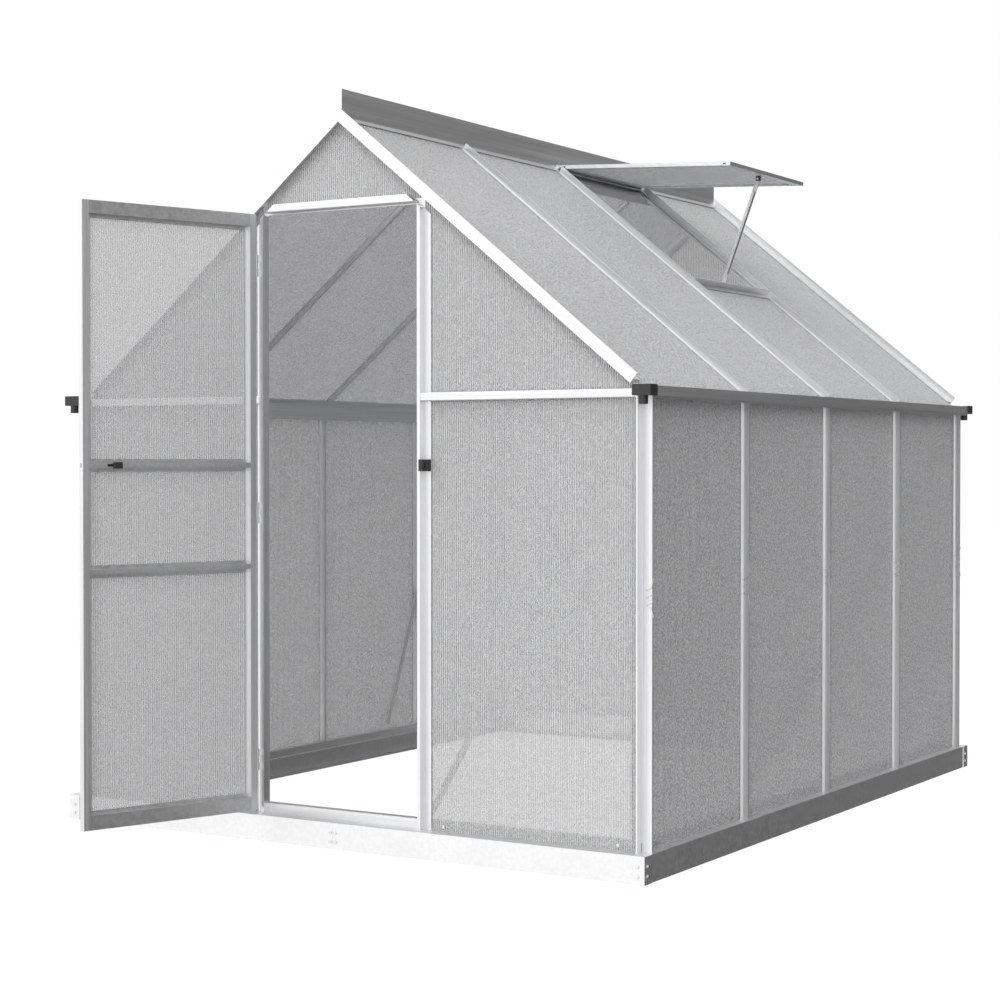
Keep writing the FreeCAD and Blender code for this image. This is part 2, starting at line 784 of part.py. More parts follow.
outer_x = post_rib_face - edge_clearance
lower = end_sheet(jamb_outer + edge_clearance, outer_x, base_height, mid_web_z - 1)
upper = end_sheet(jamb_outer + edge_clearance, outer_x, mid_web_z + 1, ridge_height)
save("front_gable_sheets", [upper, mirrored_x(upper)])
header_web_z = header_bottom + rail_height / 2
save("front_apex_sheet", [end_sheet(-jamb_inner, jamb_inner, header_web_z + 1, ridge_height)])

rear_x = stud_x + sheet_edge
rear_lower = [end_sheet(rear_x, outer_x, base_height, mid_web_z - 1)]
rear_lower += [mirrored_x(rear_lower[0])]
rear_lower += [end_sheet(-stud_x + sheet_edge, stud_x - sheet_edge, base_height, mid_web_z - 1)]
rear_upper = [end_sheet(rear_x, outer_x, mid_web_z + 1, ridge_height)]
rear_upper += [mirrored_x(rear_upper[0])]
rear_upper += [end_sheet(-stud_x + sheet_edge, stud_x - sheet_edge, mid_web_z + 1,
                         ridge_height)]
save("rear_gable_sheets", [mirrored_y(pane) for pane in rear_upper])

vent_pane_s0 = vent_web_s + sill_web
right_starts = [vent_pane_s0 if bay == vent_bay else roof_sheet_s0 for bay in range(bays)]
save("roof_sheets_right", [roof_sheet(bay, start) for bay, start in enumerate(right_starts)])
save("roof_sheets_left", [mirrored_x(roof_sheet(bay, roof_sheet_s0)) for bay in range(bays)])


# ---------------------------------------------------------------- roof vent
vent_y0 = bay_edges[vent_bay]
vent_y1 = bay_edges[vent_bay + 1]
vent_mid_y = (vent_y0 + vent_y1) / 2
vent_n0 = roof_plane + lip_outer + ridge_flange_wall + 0.5
vent_n1 = vent_n0 + vent_frame_depth
hinge_n = (vent_n0 + vent_n1) / 2
hinge_x = fin_wall / 2 + vent_fin_gap + vent_frame_depth / 2
vent_hinge_s = (hinge_x - hinge_n * sin_pitch) / cos_pitch
hinge_point = slope_point(vent_hinge_s, hinge_n)
vent_s1 = vent_hinge_s + vent_length
flap_y0 = vent_y0 + bar_web / 2 + vent_side_gap
flap_y1 = vent_y1 - bar_web / 2 - vent_side_gap
stay_s = vent_sill_s0 - 22
peg_s = vent_sill_s0 - 8
stay_n = roof_plane - 1.0


def opened(shape):
    """The vent's closed shape turned up to the angle at which it is propped."""
    turned = shape.copy()
    turned.rotate(hinge_point, V(0, 1, 0), -vent_open_angle)
    return turned


def vent_sill():
    """Cross bar on which the closed vent rests, over the short pane's head."""
    y0 = vent_y0 + bar_web / 2 + face_clearance
    y1 = vent_y1 - bar_web / 2 - face_clearance
    lip = bar_lip_reach + face_clearance
    flange = bar_flange_width / 2 + face_clearance
    n = roof_plane
    outer_n = n + lip_outer
    return fused([
        slope_box(vent_sill_s0, vent_sill_s0 + vent_sill_width, outer_n,
                  outer_n + ridge_flange_wall, y0, y1),
        slope_box(vent_s1 + vent_sill_gap, vent_s1 + vent_sill_gap + ridge_flange_wall,
                  outer_n, outer_n + vent_sill_upstand, y0, y1),
        slope_box(vent_web_s, vent_web_s + sill_web, n, outer_n, vent_y0 + lip,
                  vent_y1 - lip),
        slope_box(vent_sill_s0 + 4, vent_sill_s0 + 30, n - bar_flange_wall, n,
                  vent_y0 + flange, vent_y1 - flange)])


def vent_hinge_rail():
    """Top rail of the vent, with the tube that turns on the hinge pins."""
    s1 = vent_hinge_s + vent_frame_width
    tube = cylinder(vent_frame_depth / 2, slope_point(vent_hinge_s, hinge_n, flap_y0),
                    slope_point(vent_hinge_s, hinge_n, flap_y1))
    rail = slope_box(vent_hinge_s, s1, vent_n0, vent_n1, flap_y0, flap_y1)
    groove_cut = slope_box(s1 - vent_lip, s1 + 1, sheet_n0, sheet_n1, flap_y0 - 1, flap_y1 + 1)
    bore = cylinder(hinge_pin_radius + hinge_running_clearance,
                    slope_point(vent_hinge_s, hinge_n, flap_y0 - 1),
                    slope_point(vent_hinge_s, hinge_n, flap_y1 + 1))
    return fused([tube, rail]).cut(bore).cut(groove_cut)


def vent_lower_rail():
    """Bottom rail of the vent, which lands on the sill."""
    rail = slope_box(vent_s1 - vent_frame_width, vent_s1, vent_n0, vent_n1, flap_y0, flap_y1)
    return rail.cut(slope_box(vent_s1 - vent_frame_width - 1,
                              vent_s1 - vent_frame_width + vent_lip, sheet_n0, sheet_n1,
                              flap_y0 - 1, flap_y1 + 1))


def vent_side_rail():
    """Side rail of the vent, grooved for the sheet."""
    s0 = vent_hinge_s + vent_frame_width
    s1 = vent_s1 - vent_frame_width
    rail = slope_box(s0, s1, vent_n0, vent_n1, flap_y0, flap_y0 + vent_frame_width)
    return rail.cut(slope_box(s0 - 1, s1 + 1, sheet_n0, sheet_n1,
                              flap_y0 + vent_frame_width - vent_lip,
                              flap_y0 + vent_frame_width + 1))


vent_lip = 10.0
sheet_n0 = vent_n0 + 3.8
sheet_n1 = sheet_n0 + groove
side_rail = vent_side_rail()
far_rail = side_rail.mirror(V(0, vent_mid_y, 0), V(0, 1, 0))
save("vent_sill", [vent_sill()])
save("vent_hinge_rail", [opened(vent_hinge_rail())])
save("vent_lower_rail", [opened(vent_lower_rail())])
save("vent_side_rails", [opened(side_rail), opened(far_rail)])
lip_room = vent_lip - 1
save("vent_sheet", [opened(slope_box(
    vent_hinge_s + vent_frame_width - lip_room, vent_s1 - vent_frame_width + lip_room,
    sheet_n0, sheet_n0 + sheet_wall, flap_y0 + vent_frame_width - lip_room,
    flap_y1 - vent_frame_width + lip_room))])


def vent_hinge_lug():
    """Lug on the ridge's rain flange with the pin on which the vent's near end turns."""
    s0 = vent_hinge_s - vent_frame_depth / 2
    foot_n = roof_plane + lip_outer + ridge_flange_wall
    lug = slope_box(s0, s0 + vent_frame_depth, foot_n, hinge_n + 5, vent_y0 - 1,
                    flap_y0 - 0.4)
    pin = cylinder(hinge_pin_radius, slope_point(vent_hinge_s, hinge_n, vent_y0),
                   slope_point(vent_hinge_s, hinge_n, flap_y0 + 20))
    return fused([lug, pin])


lug = vent_hinge_lug()
save("vent_hinge_lugs", [lug, lug.mirror(V(0, vent_mid_y, 0), V(0, 1, 0))])


# ---------------------------------------------------------------- stay
def stay():
    """Holed bar that props the vent, drawn from its pivot to the peg on the sill."""
    pivot = turned_point(stay_s, stay_n)
    foot = slope_point(peg_s, stay_n)
    run = pivot - foot
    reach = math.hypot(run.x, run.z)
    half = stay_width / 2
    y0 = -stay_wall / 2
    y1 = stay_wall / 2
    bar = fused([box(-half, half, y0, y1, 0, reach),
                 box(half - stay_flange_wall, half, y0 - stay_flange, y1, stay_flange_end,
                     reach - stay_flange_end),
                 cylinder(half, V(0, y0, 0), V(0, y1, 0)),
                 cylinder(half, V(0, y0, reach), V(0, y1, reach))])
    bore = hinge_pin_radius + hinge_running_clearance
    bar = bar.cut(cylinder(bore, V(0, y0 - 1, reach), V(0, y1 + 1, reach)))
    for i in range(stay_hole_count):
        z = i * reach / (stay_hole_count + 1)
        bar = bar.cut(cylinder(stay_hole_radius, V(0, y0 - 1, z), V(0, y1 + 1, z)))
    bar.rotate(V(0, 0, 0), V(0, 1, 0), math.degrees(math.atan2(run.x, run.z)))
    bar.translate(foot + V(0, vent_mid_y, 0))
    return bar


def turned_point(s, n):
    """Point on the opened vent that lies at s, n when the vent is shut."""
    marker = Part.Vertex(slope_point(s, n))
    marker.rotate(hinge_point, V(0, 1, 0), -vent_open_angle)
    return marker.Point


def stay_bracket(sign):
    """Ear under the vent's lower rail."""
    near = vent_mid_y + sign * (stay_wall / 2 + stay_bracket_gap)
    far = near + sign * stay_bracket_wall
    ear = slope_box(stay_s - 7, stay_s + 7, stay_n - 6, vent_n0, min(near, far), max(near, far))
    bore = cylinder(hinge_pin_radius + hinge_running_clearance,
                    slope_point(stay_s, stay_n, vent_mid_y - 20),
                    slope_point(stay_s, stay_n, vent_mid_y + 20))
    return opened(ear.cut(bore))


def stay_pin():
    """Pin through both ears and the head of the stay."""
    reach = stay_wall / 2 + stay_bracket_gap + stay_bracket_wall + face_clearance
    start = slope_point(stay_s, stay_n, vent_mid_y - reach)
    end = slope_point(stay_s, stay_n, vent_mid_y + reach)
    head = cylinder(hinge_pin_radius + 1.5, start - V(0, 2, 0), start)
    tail = cylinder(hinge_pin_radius + 1.5, end, end + V(0, 2, 0))
    return opened(fused([cylinder(hinge_pin_radius, start, end), head, tail]))


def stay_peg():
    """Bracket under the sill's upper edge with the peg that holds the stay's foot."""
    y0 = vent_mid_y + stay_wall / 2 + 0.4
    plate = slope_box(peg_s - 5, vent_sill_s0 + 3.5, stay_n - 5,
                      roof_plane + lip_outer, y0 + 2, y0 + 5)
    peg = cylinder(stay_hole_radius - 0.5, slope_point(peg_s, stay_n, y0),
                   slope_point(peg_s, stay_n, y0 + 7))
    return fused([plate, peg])


save("vent_stay", [stay()])
save("vent_stay_brackets", [stay_bracket(-1), stay_bracket(1)])
save("vent_stay_pin", [stay_pin()])
save("vent_stay_peg", [stay_peg()])


# ---------------------------------------------------------------- door leaf, drawn shut
leaf_x1 = jamb_inner + door_free_overlap
leaf_x0 = -jamb_inner - door_hinge_overlap
leaf_back = -end_plane - rib_tip - door_gap        # face towards the house
leaf_front = leaf_back - door_wall
leaf_top = door_bottom + door_height
stile_inner_x0 = leaf_x0 + door_stile_face
stile_inner_x1 = leaf_x1 - door_stile_face
door_axis = V(leaf_x0 - hinge_offset, (leaf_back + leaf_front) / 2, 0)
pane_y0 = leaf_front + bar_lip_wall + 1.4          # outer face of the door's panes
lip_y0 = pane_y0 + groove                          # inner lips behind the panes
bolt_z = door_upper_rail_z + door_mid_rail_height / 2
bolt_y = (leaf_front + leaf_back) / 2
grip_x0 = leaf_x1 - grip_from_edge
grip_x1 = grip_x0 + grip_width


def swung(shape):
    """The shut door's shape swung open to its rest angle."""
    turned = shape.copy()
    turned.rotate(door_axis, V(0, 0, 1), -door_open_angle)
    return turned


def lips_x(x0, x1, z0, z1):
    """Outer and inner lips of a door member, over the edges of the panes."""
    return [box(x0, x1, leaf_front, leaf_front + bar_lip_wall, z0, z1),
            box(x0, x1, lip_y0, lip_y0 + bar_lip_wall, z0, z1)]


def cross_members():
    """Foot and head height of each rail across the door."""
    return {
        "bottom": (door_bottom, door_bottom + door_bottom_rail_height),
        "lower": (door_lower_rail_z, door_lower_rail_z + door_mid_rail_height),
        "upper": (door_upper_rail_z, door_upper_rail_z + door_mid_rail_height),
        "top": (leaf_top - door_top_rail_height, leaf_top)}


def door_stile(lock_side):
    """Upright of the door: a tube with lips over the panes, notched for the rails."""
    if lock_side:
        tube = box(stile_inner_x1, leaf_x1, leaf_front, leaf_back, door_bottom, leaf_top)
        lip_x = (stile_inner_x1 - door_stile_lip, stile_inner_x1)
    else:
        tube = box(leaf_x0, stile_inner_x0, leaf_front, leaf_back, door_bottom, leaf_top)
        lip_x = (stile_inner_x0, stile_inner_x0 + door_stile_lip)
    pieces = [tube]
    levels = sorted(cross_members().values())
    for (_, below), (above, _) in zip(levels, levels[1:]):
        pieces += lips_x(lip_x[0], lip_x[1], below, above)
    stile = fused(pieces)
    wall = bar_flange_wall
    hollow = box(tube.BoundBox.XMin + wall, tube.BoundBox.XMax - wall, leaf_front + wall,
                 leaf_back - wall, door_bottom - 1, leaf_top + 1)
    stile = stile.cut(hollow)
    if lock_side:
        stile = stile.cut(bolt_channel(stile_inner_x1 - 1, leaf_x1 + 1))
    return stile


def bolt_channel(x0, x1):
    """Clear way for the slide bolt."""
    half_z = bolt_width / 2 + bolt_clearance
    half_y = bolt_wall / 2 + bolt_clearance
    return box(x0, x1, bolt_y - half_y, bolt_y + half_y, bolt_z - half_z, bolt_z + half_z)


def door_rail(z0, z1, lip_below, lip_above):
    """Rail across the door: a tube with lips over the panes above and below."""
    core_z0 = z0 + (door_stile_lip if lip_below else 0)
    core_z1 = z1 - (door_stile_lip if lip_above else 0)
    pieces = [box(stile_inner_x0, stile_inner_x1, leaf_front, leaf_back, core_z0, core_z1)]
    if lip_below:
        pieces += lips_x(stile_inner_x0, stile_inner_x1, z0, core_z0)
    if lip_above:
        pieces += lips_x(stile_inner_x0, stile_inner_x1, core_z1, z1)
    return fused(pieces)


def upper_mid_rail():
    """Mid rail with the slide bolt's channel and the slot for its thumb grip."""
    z0, z1 = cross_members()["upper"]
    rail = door_rail(z0, z1, True, True)
    rail = rail.cut(bolt_channel(grip_x0 - 10, stile_inner_x1 + 1))
    slot = box(grip_x0 + 6 - bolt_clearance, grip_x1 - 6 + bolt_travel + bolt_clearance,
               bolt_y, leaf_back + 1, bolt_z - 3 - bolt_clearance,
               bolt_z + 3 + bolt_clearance)
    return rail.cut(slot)


def slide_bolt():
    """Flat bolt with its thumb grip, drawn back."""
    half_z = bolt_width / 2
    half_y = bolt_wall / 2
    bar = box(grip_x0 - 5, leaf_x1 - bolt_tip_setback, bolt_y - half_y, bolt_y + half_y,
              bolt_z - half_z, bolt_z + half_z)
    neck = box(grip_x0 + 6, grip_x1 - 6, bolt_y, leaf_back + bolt_clearance, bolt_z - 3,
               bolt_z + 3)
    grip = box(grip_x0, grip_x1, leaf_back + bolt_clearance,
               leaf_back + bolt_clearance + grip_depth, bolt_z - grip_height / 2,
               bolt_z + grip_height / 2)
    grip = grip.makeFillet(2.5, grip.Edges)
    return fused([bar, neck, grip.common(box(grip_x0, grip_x1, leaf_back + bolt_clearance,
                                             leaf_back + 30, bolt_z - 30, bolt_z + 30))])


def bolt_keeper():
    """Catch on the right jamb's bead, with a pocket for the bolt's nose."""
    x0 = leaf_x1 + face_clearance * 8
    front = leaf_front - 1
    back = -end_plane - lip_outer - bar_lip_wall
    block = box(x0, x0 + keeper_width, front, back, bolt_z - keeper_height / 2,
                bolt_z + keeper_height / 2)
    half_z = bolt_width / 2 + 2 * bolt_clearance
    half_y = bolt_wall / 2 + 2 * bolt_clearance
    return block.cut(box(x0 - 1, x0 + keeper_width + 1, bolt_y - half_y, bolt_y + half_y,
                         bolt_z - half_z, bolt_z + half_z))


def door_panes():
    """The door's panes, one between each pair of rails."""
    gap = 1.0
    x0 = stile_inner_x0 + gap
    x1 = stile_inner_x1 - gap
    levels = sorted(cross_members().items(), key=lambda item: item[1])
    panes = []
    for (_, (_, below)), (_, (above, _)) in zip(levels, levels[1:]):
        panes.append(box(x0, x1, pane_y0, pane_y0 + sheet_wall,
                         below - door_stile_lip + gap, above + door_stile_lip - gap))
    return panes


def hinge_ear(z0, z1):
    """One jamb-side ear of a hinge, from the jamb's flank to the pin."""
    plate = box(-jamb_outer - hinge_knuckle_radius, -jamb_outer, door_axis.y,
                -end_plane - lip_outer - bar_lip_wall - 1, z0, z1)
    knuckle = cylinder(hinge_knuckle_radius, door_axis + V(0, 0, z0), door_axis + V(0, 0, z1))
    bore = cylinder(hinge_pin_radius + hinge_running_clearance,
                    door_axis + V(0, 0, z0 - 1), door_axis + V(0, 0, z1 + 1))
    return fused([plate, knuckle]).cut(bore)


def door_knuckle(z0, z1):
    """The leaf-side knuckle of a hinge, with the strap to the stile's edge."""
    knuckle = cylinder(hinge_knuckle_radius, door_axis + V(0, 0, z0), door_axis + V(0, 0, z1))
    strap = box(door_axis.x, leaf_x0, door_axis.y - 4, door_axis.y + 4, z0, z1)
    bore = cylinder(hinge_pin_radius + hinge_running_clearance,
                    door_axis + V(0, 0, z0 - 1), door_axis + V(0, 0, z1 + 1))
    return fused([knuckle, strap]).cut(bore)


def hinge_pin(z0, z1):
    """Hinge pin with a head at the top."""
    head = cylinder(hinge_pin_radius + 1.5, door_axis + V(0, 0, z1), door_axis + V(0, 0, z1 + 2))
    return fused([cylinder(hinge_pin_radius, door_axis + V(0, 0, z0), door_axis + V(0, 0, z1)),
                  head])


ears = []
knuckles = []
pins = []
for height in hinge_heights:
    third = hinge_length / 3
    foot = height - hinge_length / 2
    ears.append(hinge_ear(foot, foot + third - face_clearance))
    ears.append(hinge_ear(foot + 2 * third + face_clearance, foot + hinge_length))
    knuckles.append(swung(door_knuckle(foot + third, foot + 2 * third)))
    pins.append(hinge_pin(foot, foot + hinge_length))

members = cross_members()
save("door_hinge_stile", [swung(door_stile(False))])
save("door_lock_stile", [swung(door_stile(True))])
save("door_top_rail", [swung(door_rail(*members["top"], True, False))])
save("door_upper_mid_rail", [swung(upper_mid_rail())])
save("door_lower_mid_rail", [swung(door_rail(*members["lower"], True, True))])
save("door_bottom_rail", [swung(door_rail(*members["bottom"], False, True))])
save("door_sheets", [swung(pane) for pane in door_panes()])
save("door_hinge_knuckles", knuckles)
save("door_slide_bolt", [swung(slide_bolt())])
save("door_bolt_keeper", [bolt_keeper()])
save("door_jamb_hinges", ears)
save("door_hinge_pins", pins)


# ---------------------------------------------------------------- pane screws
def screw_places(pane, along_x):
    """Two places along the foot of a pane, in from its edges."""
    bounds = pane.BoundBox
    if along_x:
        return [bounds.XMin + screw_inset, bounds.XMax - screw_inset]
    return [bounds.YMin + screw_inset, bounds.YMax - screw_inset]


def screw_at(start, inward):
    """Pan-head screw: head on the pane's face, shank into the sill."""
    reach = sheet_wall + 2 * bar_flange_wall
    head = cylinder(screw_head_radius, start - inward * screw_head_height, start)
    return fused([head, cylinder(screw_radius, start, start + inward * reach)])


def screw_hole(start, inward):
    """Hole for one screw through a pane and the sill's wall."""
    return cylinder(screw_radius + screw_hole_clearance, start - inward,
                    start + inward * (sheet_wall + 2 * bar_flange_wall + 1))


screw_z = base_height + screw_rise
front_starts = []
for pane in (lower, mirrored_x(lower)):
    front_starts += [V(x, -end_plane - sheet_wall, screw_z) for x in screw_places(pane, True)]
rear_starts = []
for pane in rear_lower:
    rear_starts += [V(x, end_plane + sheet_wall, screw_z) for x in screw_places(pane, True)]
right_starts_y = []
for pane in panes:
    right_starts_y += screw_places(pane, False)
right_screws = [V(side_plane + sheet_wall, y, screw_z) for y in right_starts_y]

plus_y = V(0, 1, 0)
minus_x = V(-1, 0, 0)
screws = [screw_at(start, plus_y) for start in front_starts]
screws += [screw_at(start, plus_y * -1) for start in rear_starts]
side_screws = [screw_at(start, minus_x) for start in right_screws]
screws += side_screws + [mirrored_x(screw) for screw in side_screws]
front_drills = Part.makeCompound([screw_hole(start, plus_y) for start in front_starts])
rear_drills = Part.makeCompound([screw_hole(start, plus_y * -1) for start in rear_starts])
side_drills = Part.makeCompound([screw_hole(start, minus_x) for start in right_screws])

save("end_sills", [end_sill().cut(front_drills), mirrored_y(end_sill()).cut(rear_drills)])
drilled_sill = side_sill().cut(side_drills)
save("side_sills", [drilled_sill, mirrored_x(drilled_sill)])
panes = [pane.cut(side_drills) for pane in panes]
save("side_sheets_right", panes)
save("side_sheets_left", [mirrored_x(pane) for pane in panes])
save("front_lower_sheets", [pane.cut(front_drills) for pane in (lower, mirrored_x(lower))])
save("rear_lower_sheets", [mirrored_y(pane).cut(rear_drills) for pane in rear_lower])
save("pane_screws", screws)


# ---------------------------------------------------------------- glazing clips
def glazing_clip(y):
    """Bent spring wire against the rib of a right-hand post, pressing on its lips."""
    near = side_plane + lip_outer + 2 * clip_wire_radius
    tip = side_plane + rib_tip
    outline = [(clip_half_height, tip + 4), (0.5 * clip_half_height, tip - 2),
               (0.4 * clip_half_height, near), (0.2 * clip_half_height, tip + 3),
               (0.0, near)]
    outline += [(-z, x) for z, x in reversed(outline[:-1])]
    wire_y = y - bar_web / 2 - clip_wire_radius - 0.05
    points = [V(x, wire_y, clip_height + z) for z, x in outline]
    pieces = [cylinder(clip_wire_radius, a, b) for a, b in zip(points, points[1:])]
    pieces += [Part.makeSphere(clip_wire_radius, point) for point in points]
    return fused(pieces)


clips = [glazing_clip(y) for y in bay_edges]
save("glazing_clips", clips + [mirrored_x(clip) for clip in clips])
print(len(made), "nodes", sum(made.values()), "solids")
print("door axis", [round(v, 3) for v in door_axis], "vent hinge",
      [round(v, 3) for v in hinge_point], "stay pivot",
      [round(v, 3) for v in turned_point(stay_s, stay_n)])
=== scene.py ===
"""Walk-in gable greenhouse: aluminium frame, steel base, twin-wall panes, open door and vent."""

import json
import logging
import math
from collections.abc import Callable
from dataclasses import dataclass, field
from enum import Enum

import bpy
from mathutils import Matrix, Vector

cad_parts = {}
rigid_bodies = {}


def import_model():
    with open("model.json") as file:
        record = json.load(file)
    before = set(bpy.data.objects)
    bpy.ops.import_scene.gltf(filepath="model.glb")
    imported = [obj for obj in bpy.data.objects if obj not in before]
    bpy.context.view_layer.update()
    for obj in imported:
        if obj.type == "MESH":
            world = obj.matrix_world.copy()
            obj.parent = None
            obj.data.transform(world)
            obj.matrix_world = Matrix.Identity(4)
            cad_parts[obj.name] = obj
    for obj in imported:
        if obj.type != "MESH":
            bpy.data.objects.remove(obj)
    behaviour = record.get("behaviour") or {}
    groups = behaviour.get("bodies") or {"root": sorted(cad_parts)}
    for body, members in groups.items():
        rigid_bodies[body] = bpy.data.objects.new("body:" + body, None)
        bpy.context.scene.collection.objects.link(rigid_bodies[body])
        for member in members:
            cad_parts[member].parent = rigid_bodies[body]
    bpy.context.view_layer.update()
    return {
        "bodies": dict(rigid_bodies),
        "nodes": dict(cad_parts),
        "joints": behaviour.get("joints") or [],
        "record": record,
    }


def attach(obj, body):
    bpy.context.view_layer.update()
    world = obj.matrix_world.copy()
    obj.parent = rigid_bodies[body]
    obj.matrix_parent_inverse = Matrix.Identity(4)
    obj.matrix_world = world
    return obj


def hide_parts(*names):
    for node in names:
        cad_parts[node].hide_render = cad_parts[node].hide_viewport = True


LOG = logging.getLogger("greenhouse")
Colour = tuple[float, float, float]
Direction = tuple[float, float, float]
NOISE_RANGE = (0.3, 0.7)  # most values of a noise lie in here
ROOF_LEAN = math.radians(51.0)  # how far the roof's bars lean from upright
ALONG_AXIS = 0.9  # a normal is taken to lie along an axis when its part along it is larger
TINY = 1e-5  # metres: corners closer than this are one corner
SLIVER = 1e-4  # square metres: a smaller face isn't a pane's edge


# ---------------------------------------------------------------- shared shader effects


def group_tree(name: str) -> tuple[bpy.types.NodeTree, bpy.types.Node, bpy.types.Node]:
    """Starts a shader node group.

    Args:
        name: the group's name.

    Returns:
        The tree, its input node and its output node.
    """
    tree = bpy.data.node_groups.new(name, "ShaderNodeTree")
    return tree, tree.nodes.new("NodeGroupInput"), tree.nodes.new("NodeGroupOutput")


def add_socket(
    tree: bpy.types.NodeTree, name: str, way: str, kind: str, value: object = None
) -> None:
    """Adds one socket to a group.

    Args:
        tree: the group's tree.
        name: the socket's name.
        way: INPUT or OUTPUT.
        kind: the socket's short type, such as Float, Vector or Color.
        value: the default of an input.
    """
    socket = tree.interface.new_socket(name, in_out=way, socket_type=f"NodeSocket{kind}")
    if value is not None:
        socket.default_value = value


def math_node(
    tree: bpy.types.NodeTree, operation: str, first: object, second: object
) -> bpy.types.NodeSocket:
    """Adds a math node.

    Args:
        tree: the tree it goes in.
        operation: the node's operation.
        first: a socket or a number.
        second: a socket or a number.

    Returns:
        The node's output socket.
    """
    node = tree.nodes.new("ShaderNodeMath")
    node.operation = operation
    for place, value in enumerate((first, second)):
        if isinstance(value, bpy.types.NodeSocket):
            tree.links.new(value, node.inputs[place])
        else:
            node.inputs[place].default_value = value
    return node.outputs[0]


class Effects:
    """The node groups that several finishes share, each built once."""

    def __init__(self) -> None:
        """Builds every group."""
        self.grain = self.build_grain()
        self.mottle = self.build_mottle()
        self.dust = self.build_dust()

    def build_grain(self) -> bpy.types.NodeTree:
        """Fine lines drawn along one direction, as a die or a roller leaves them.

        Returns:
            The group.
        """
        tree, start, end = group_tree("Drawn grain")
        add_socket(tree, "Turn", "INPUT", "Vector", (0.0, 0.0, 0.0))
        add_socket(tree, "Stretch", "INPUT", "Vector", (900.0, 900.0, 12.0))
        add_socket(tree, "Height", "OUTPUT", "Float")
        add_socket(tree, "Streaks", "OUTPUT", "Float")
        place = tree.nodes.new("ShaderNodeTexCoord")
        turn = tree.nodes.new("ShaderNodeVectorRotate")
        turn.rotation_type = "EULER_XYZ"
        tree.links.new(place.outputs["Object"], turn.inputs["Vector"])
        tree.links.new(start.outputs["Turn"], turn.inputs["Rotation"])
        stretch = tree.nodes.new("ShaderNodeVectorMath")
        stretch.operation = "MULTIPLY"
        tree.links.new(turn.outputs["Vector"], stretch.inputs[0])
        tree.links.new(start.outputs["Stretch"], stretch.inputs[1])
        fine = tree.nodes.new("ShaderNodeTexNoise")
        fine.inputs["Scale"].default_value = 1.0
        fine.inputs["Detail"].default_value = 3.0
        tree.links.new(stretch.outputs["Vector"], fine.inputs["Vector"])
        broad = tree.nodes.new("ShaderNodeTexNoise")
        broad.inputs["Scale"].default_value = 0.12
        broad.inputs["Detail"].default_value = 2.0
        tree.links.new(stretch.outputs["Vector"], broad.inputs["Vector"])
        tree.links.new(fine.outputs["Fac"], end.inputs["Height"])
        tree.links.new(broad.outputs["Fac"], end.inputs["Streaks"])
        return tree

    def build_mottle(self) -> bpy.types.NodeTree:
        """Soft spots at a chosen size, with a finer spot inside them.

        Returns:
            The group.
        """
        tree, start, end = group_tree("Mottle")
        add_socket(tree, "Scale", "INPUT", "Float", 40.0)
        add_socket(tree, "Spots", "OUTPUT", "Float")
        add_socket(tree, "Height", "OUTPUT", "Float")
        place = tree.nodes.new("ShaderNodeTexCoord")
        soft = tree.nodes.new("ShaderNodeTexNoise")
        soft.inputs["Detail"].default_value = 4.0
        cells = tree.nodes.new("ShaderNodeTexVoronoi")
        for node in (soft, cells):
            tree.links.new(place.outputs["Object"], node.inputs["Vector"])
            tree.links.new(start.outputs["Scale"], node.inputs["Scale"])
        both = math_node(tree, "MULTIPLY", cells.outputs["Distance"], soft.outputs["Fac"])
        tree.links.new(soft.outputs["Fac"], end.inputs["Spots"])
        tree.links.new(both, end.inputs["Height"])
        return tree

    def build_dust(self) -> bpy.types.NodeTree:
        """A thin film of dust, a little thicker near the ground, as a mask from 0 to 1.

        Returns:
            The group.
        """
        tree, start, end = group_tree("Dust film")
        add_socket(tree, "Amount", "INPUT", "Float", 0.2)
        add_socket(tree, "Mask", "OUTPUT", "Float")
        place = tree.nodes.new("ShaderNodeTexCoord")
        parts = tree.nodes.new("ShaderNodeSeparateXYZ")
        tree.links.new(place.outputs["Object"], parts.inputs[0])
        fall = tree.nodes.new("ShaderNodeMapRange")
        fall.inputs["From Min"].default_value = 0.0
        fall.inputs["From Max"].default_value = 0.5
        fall.inputs["To Min"].default_value = 1.0
        fall.inputs["To Max"].default_value = 0.35
        tree.links.new(parts.outputs["Z"], fall.inputs["Value"])
        cloud = tree.nodes.new("ShaderNodeTexNoise")
        cloud.inputs["Scale"].default_value = 7.0
        cloud.inputs["Detail"].default_value = 6.0
        tree.links.new(place.outputs["Object"], cloud.inputs["Vector"])
        shaped = math_node(tree, "MULTIPLY", fall.outputs["Result"], cloud.outputs["Fac"])
        mask = math_node(tree, "MULTIPLY", shaped, start.outputs["Amount"])
        tree.links.new(mask, end.inputs["Mask"])
        return tree


# ---------------------------------------------------------------- finishes


class Run(Enum):
    """The direction that a bar was drawn in, as the turn that brings it onto Z."""

    UPRIGHT = (0.0, 0.0, 0.0)
    ACROSS = (0.0, math.pi / 2, 0.0)
    ALONG = (math.pi / 2, 0.0, 0.0)
    SLOPED = (0.0, ROOF_LEAN, 0.0)


class Wall(Enum):
    """The parts of the building whose panes are painted lighter or darker, each as it takes the
    light.
    """

    END = "end"
    SIDE = "side"
    ROOF = "roof"


def tree_of(material: bpy.types.Material) -> tuple[bpy.types.NodeTree, bpy.types.Node]:
    """Turns nodes on in a new material.

    Args:
        material: the material.

    Returns:
        Its tree and its Principled shader.
    """
    material.use_nodes = True
    return material.node_tree, material.node_tree.nodes["Principled BSDF"]


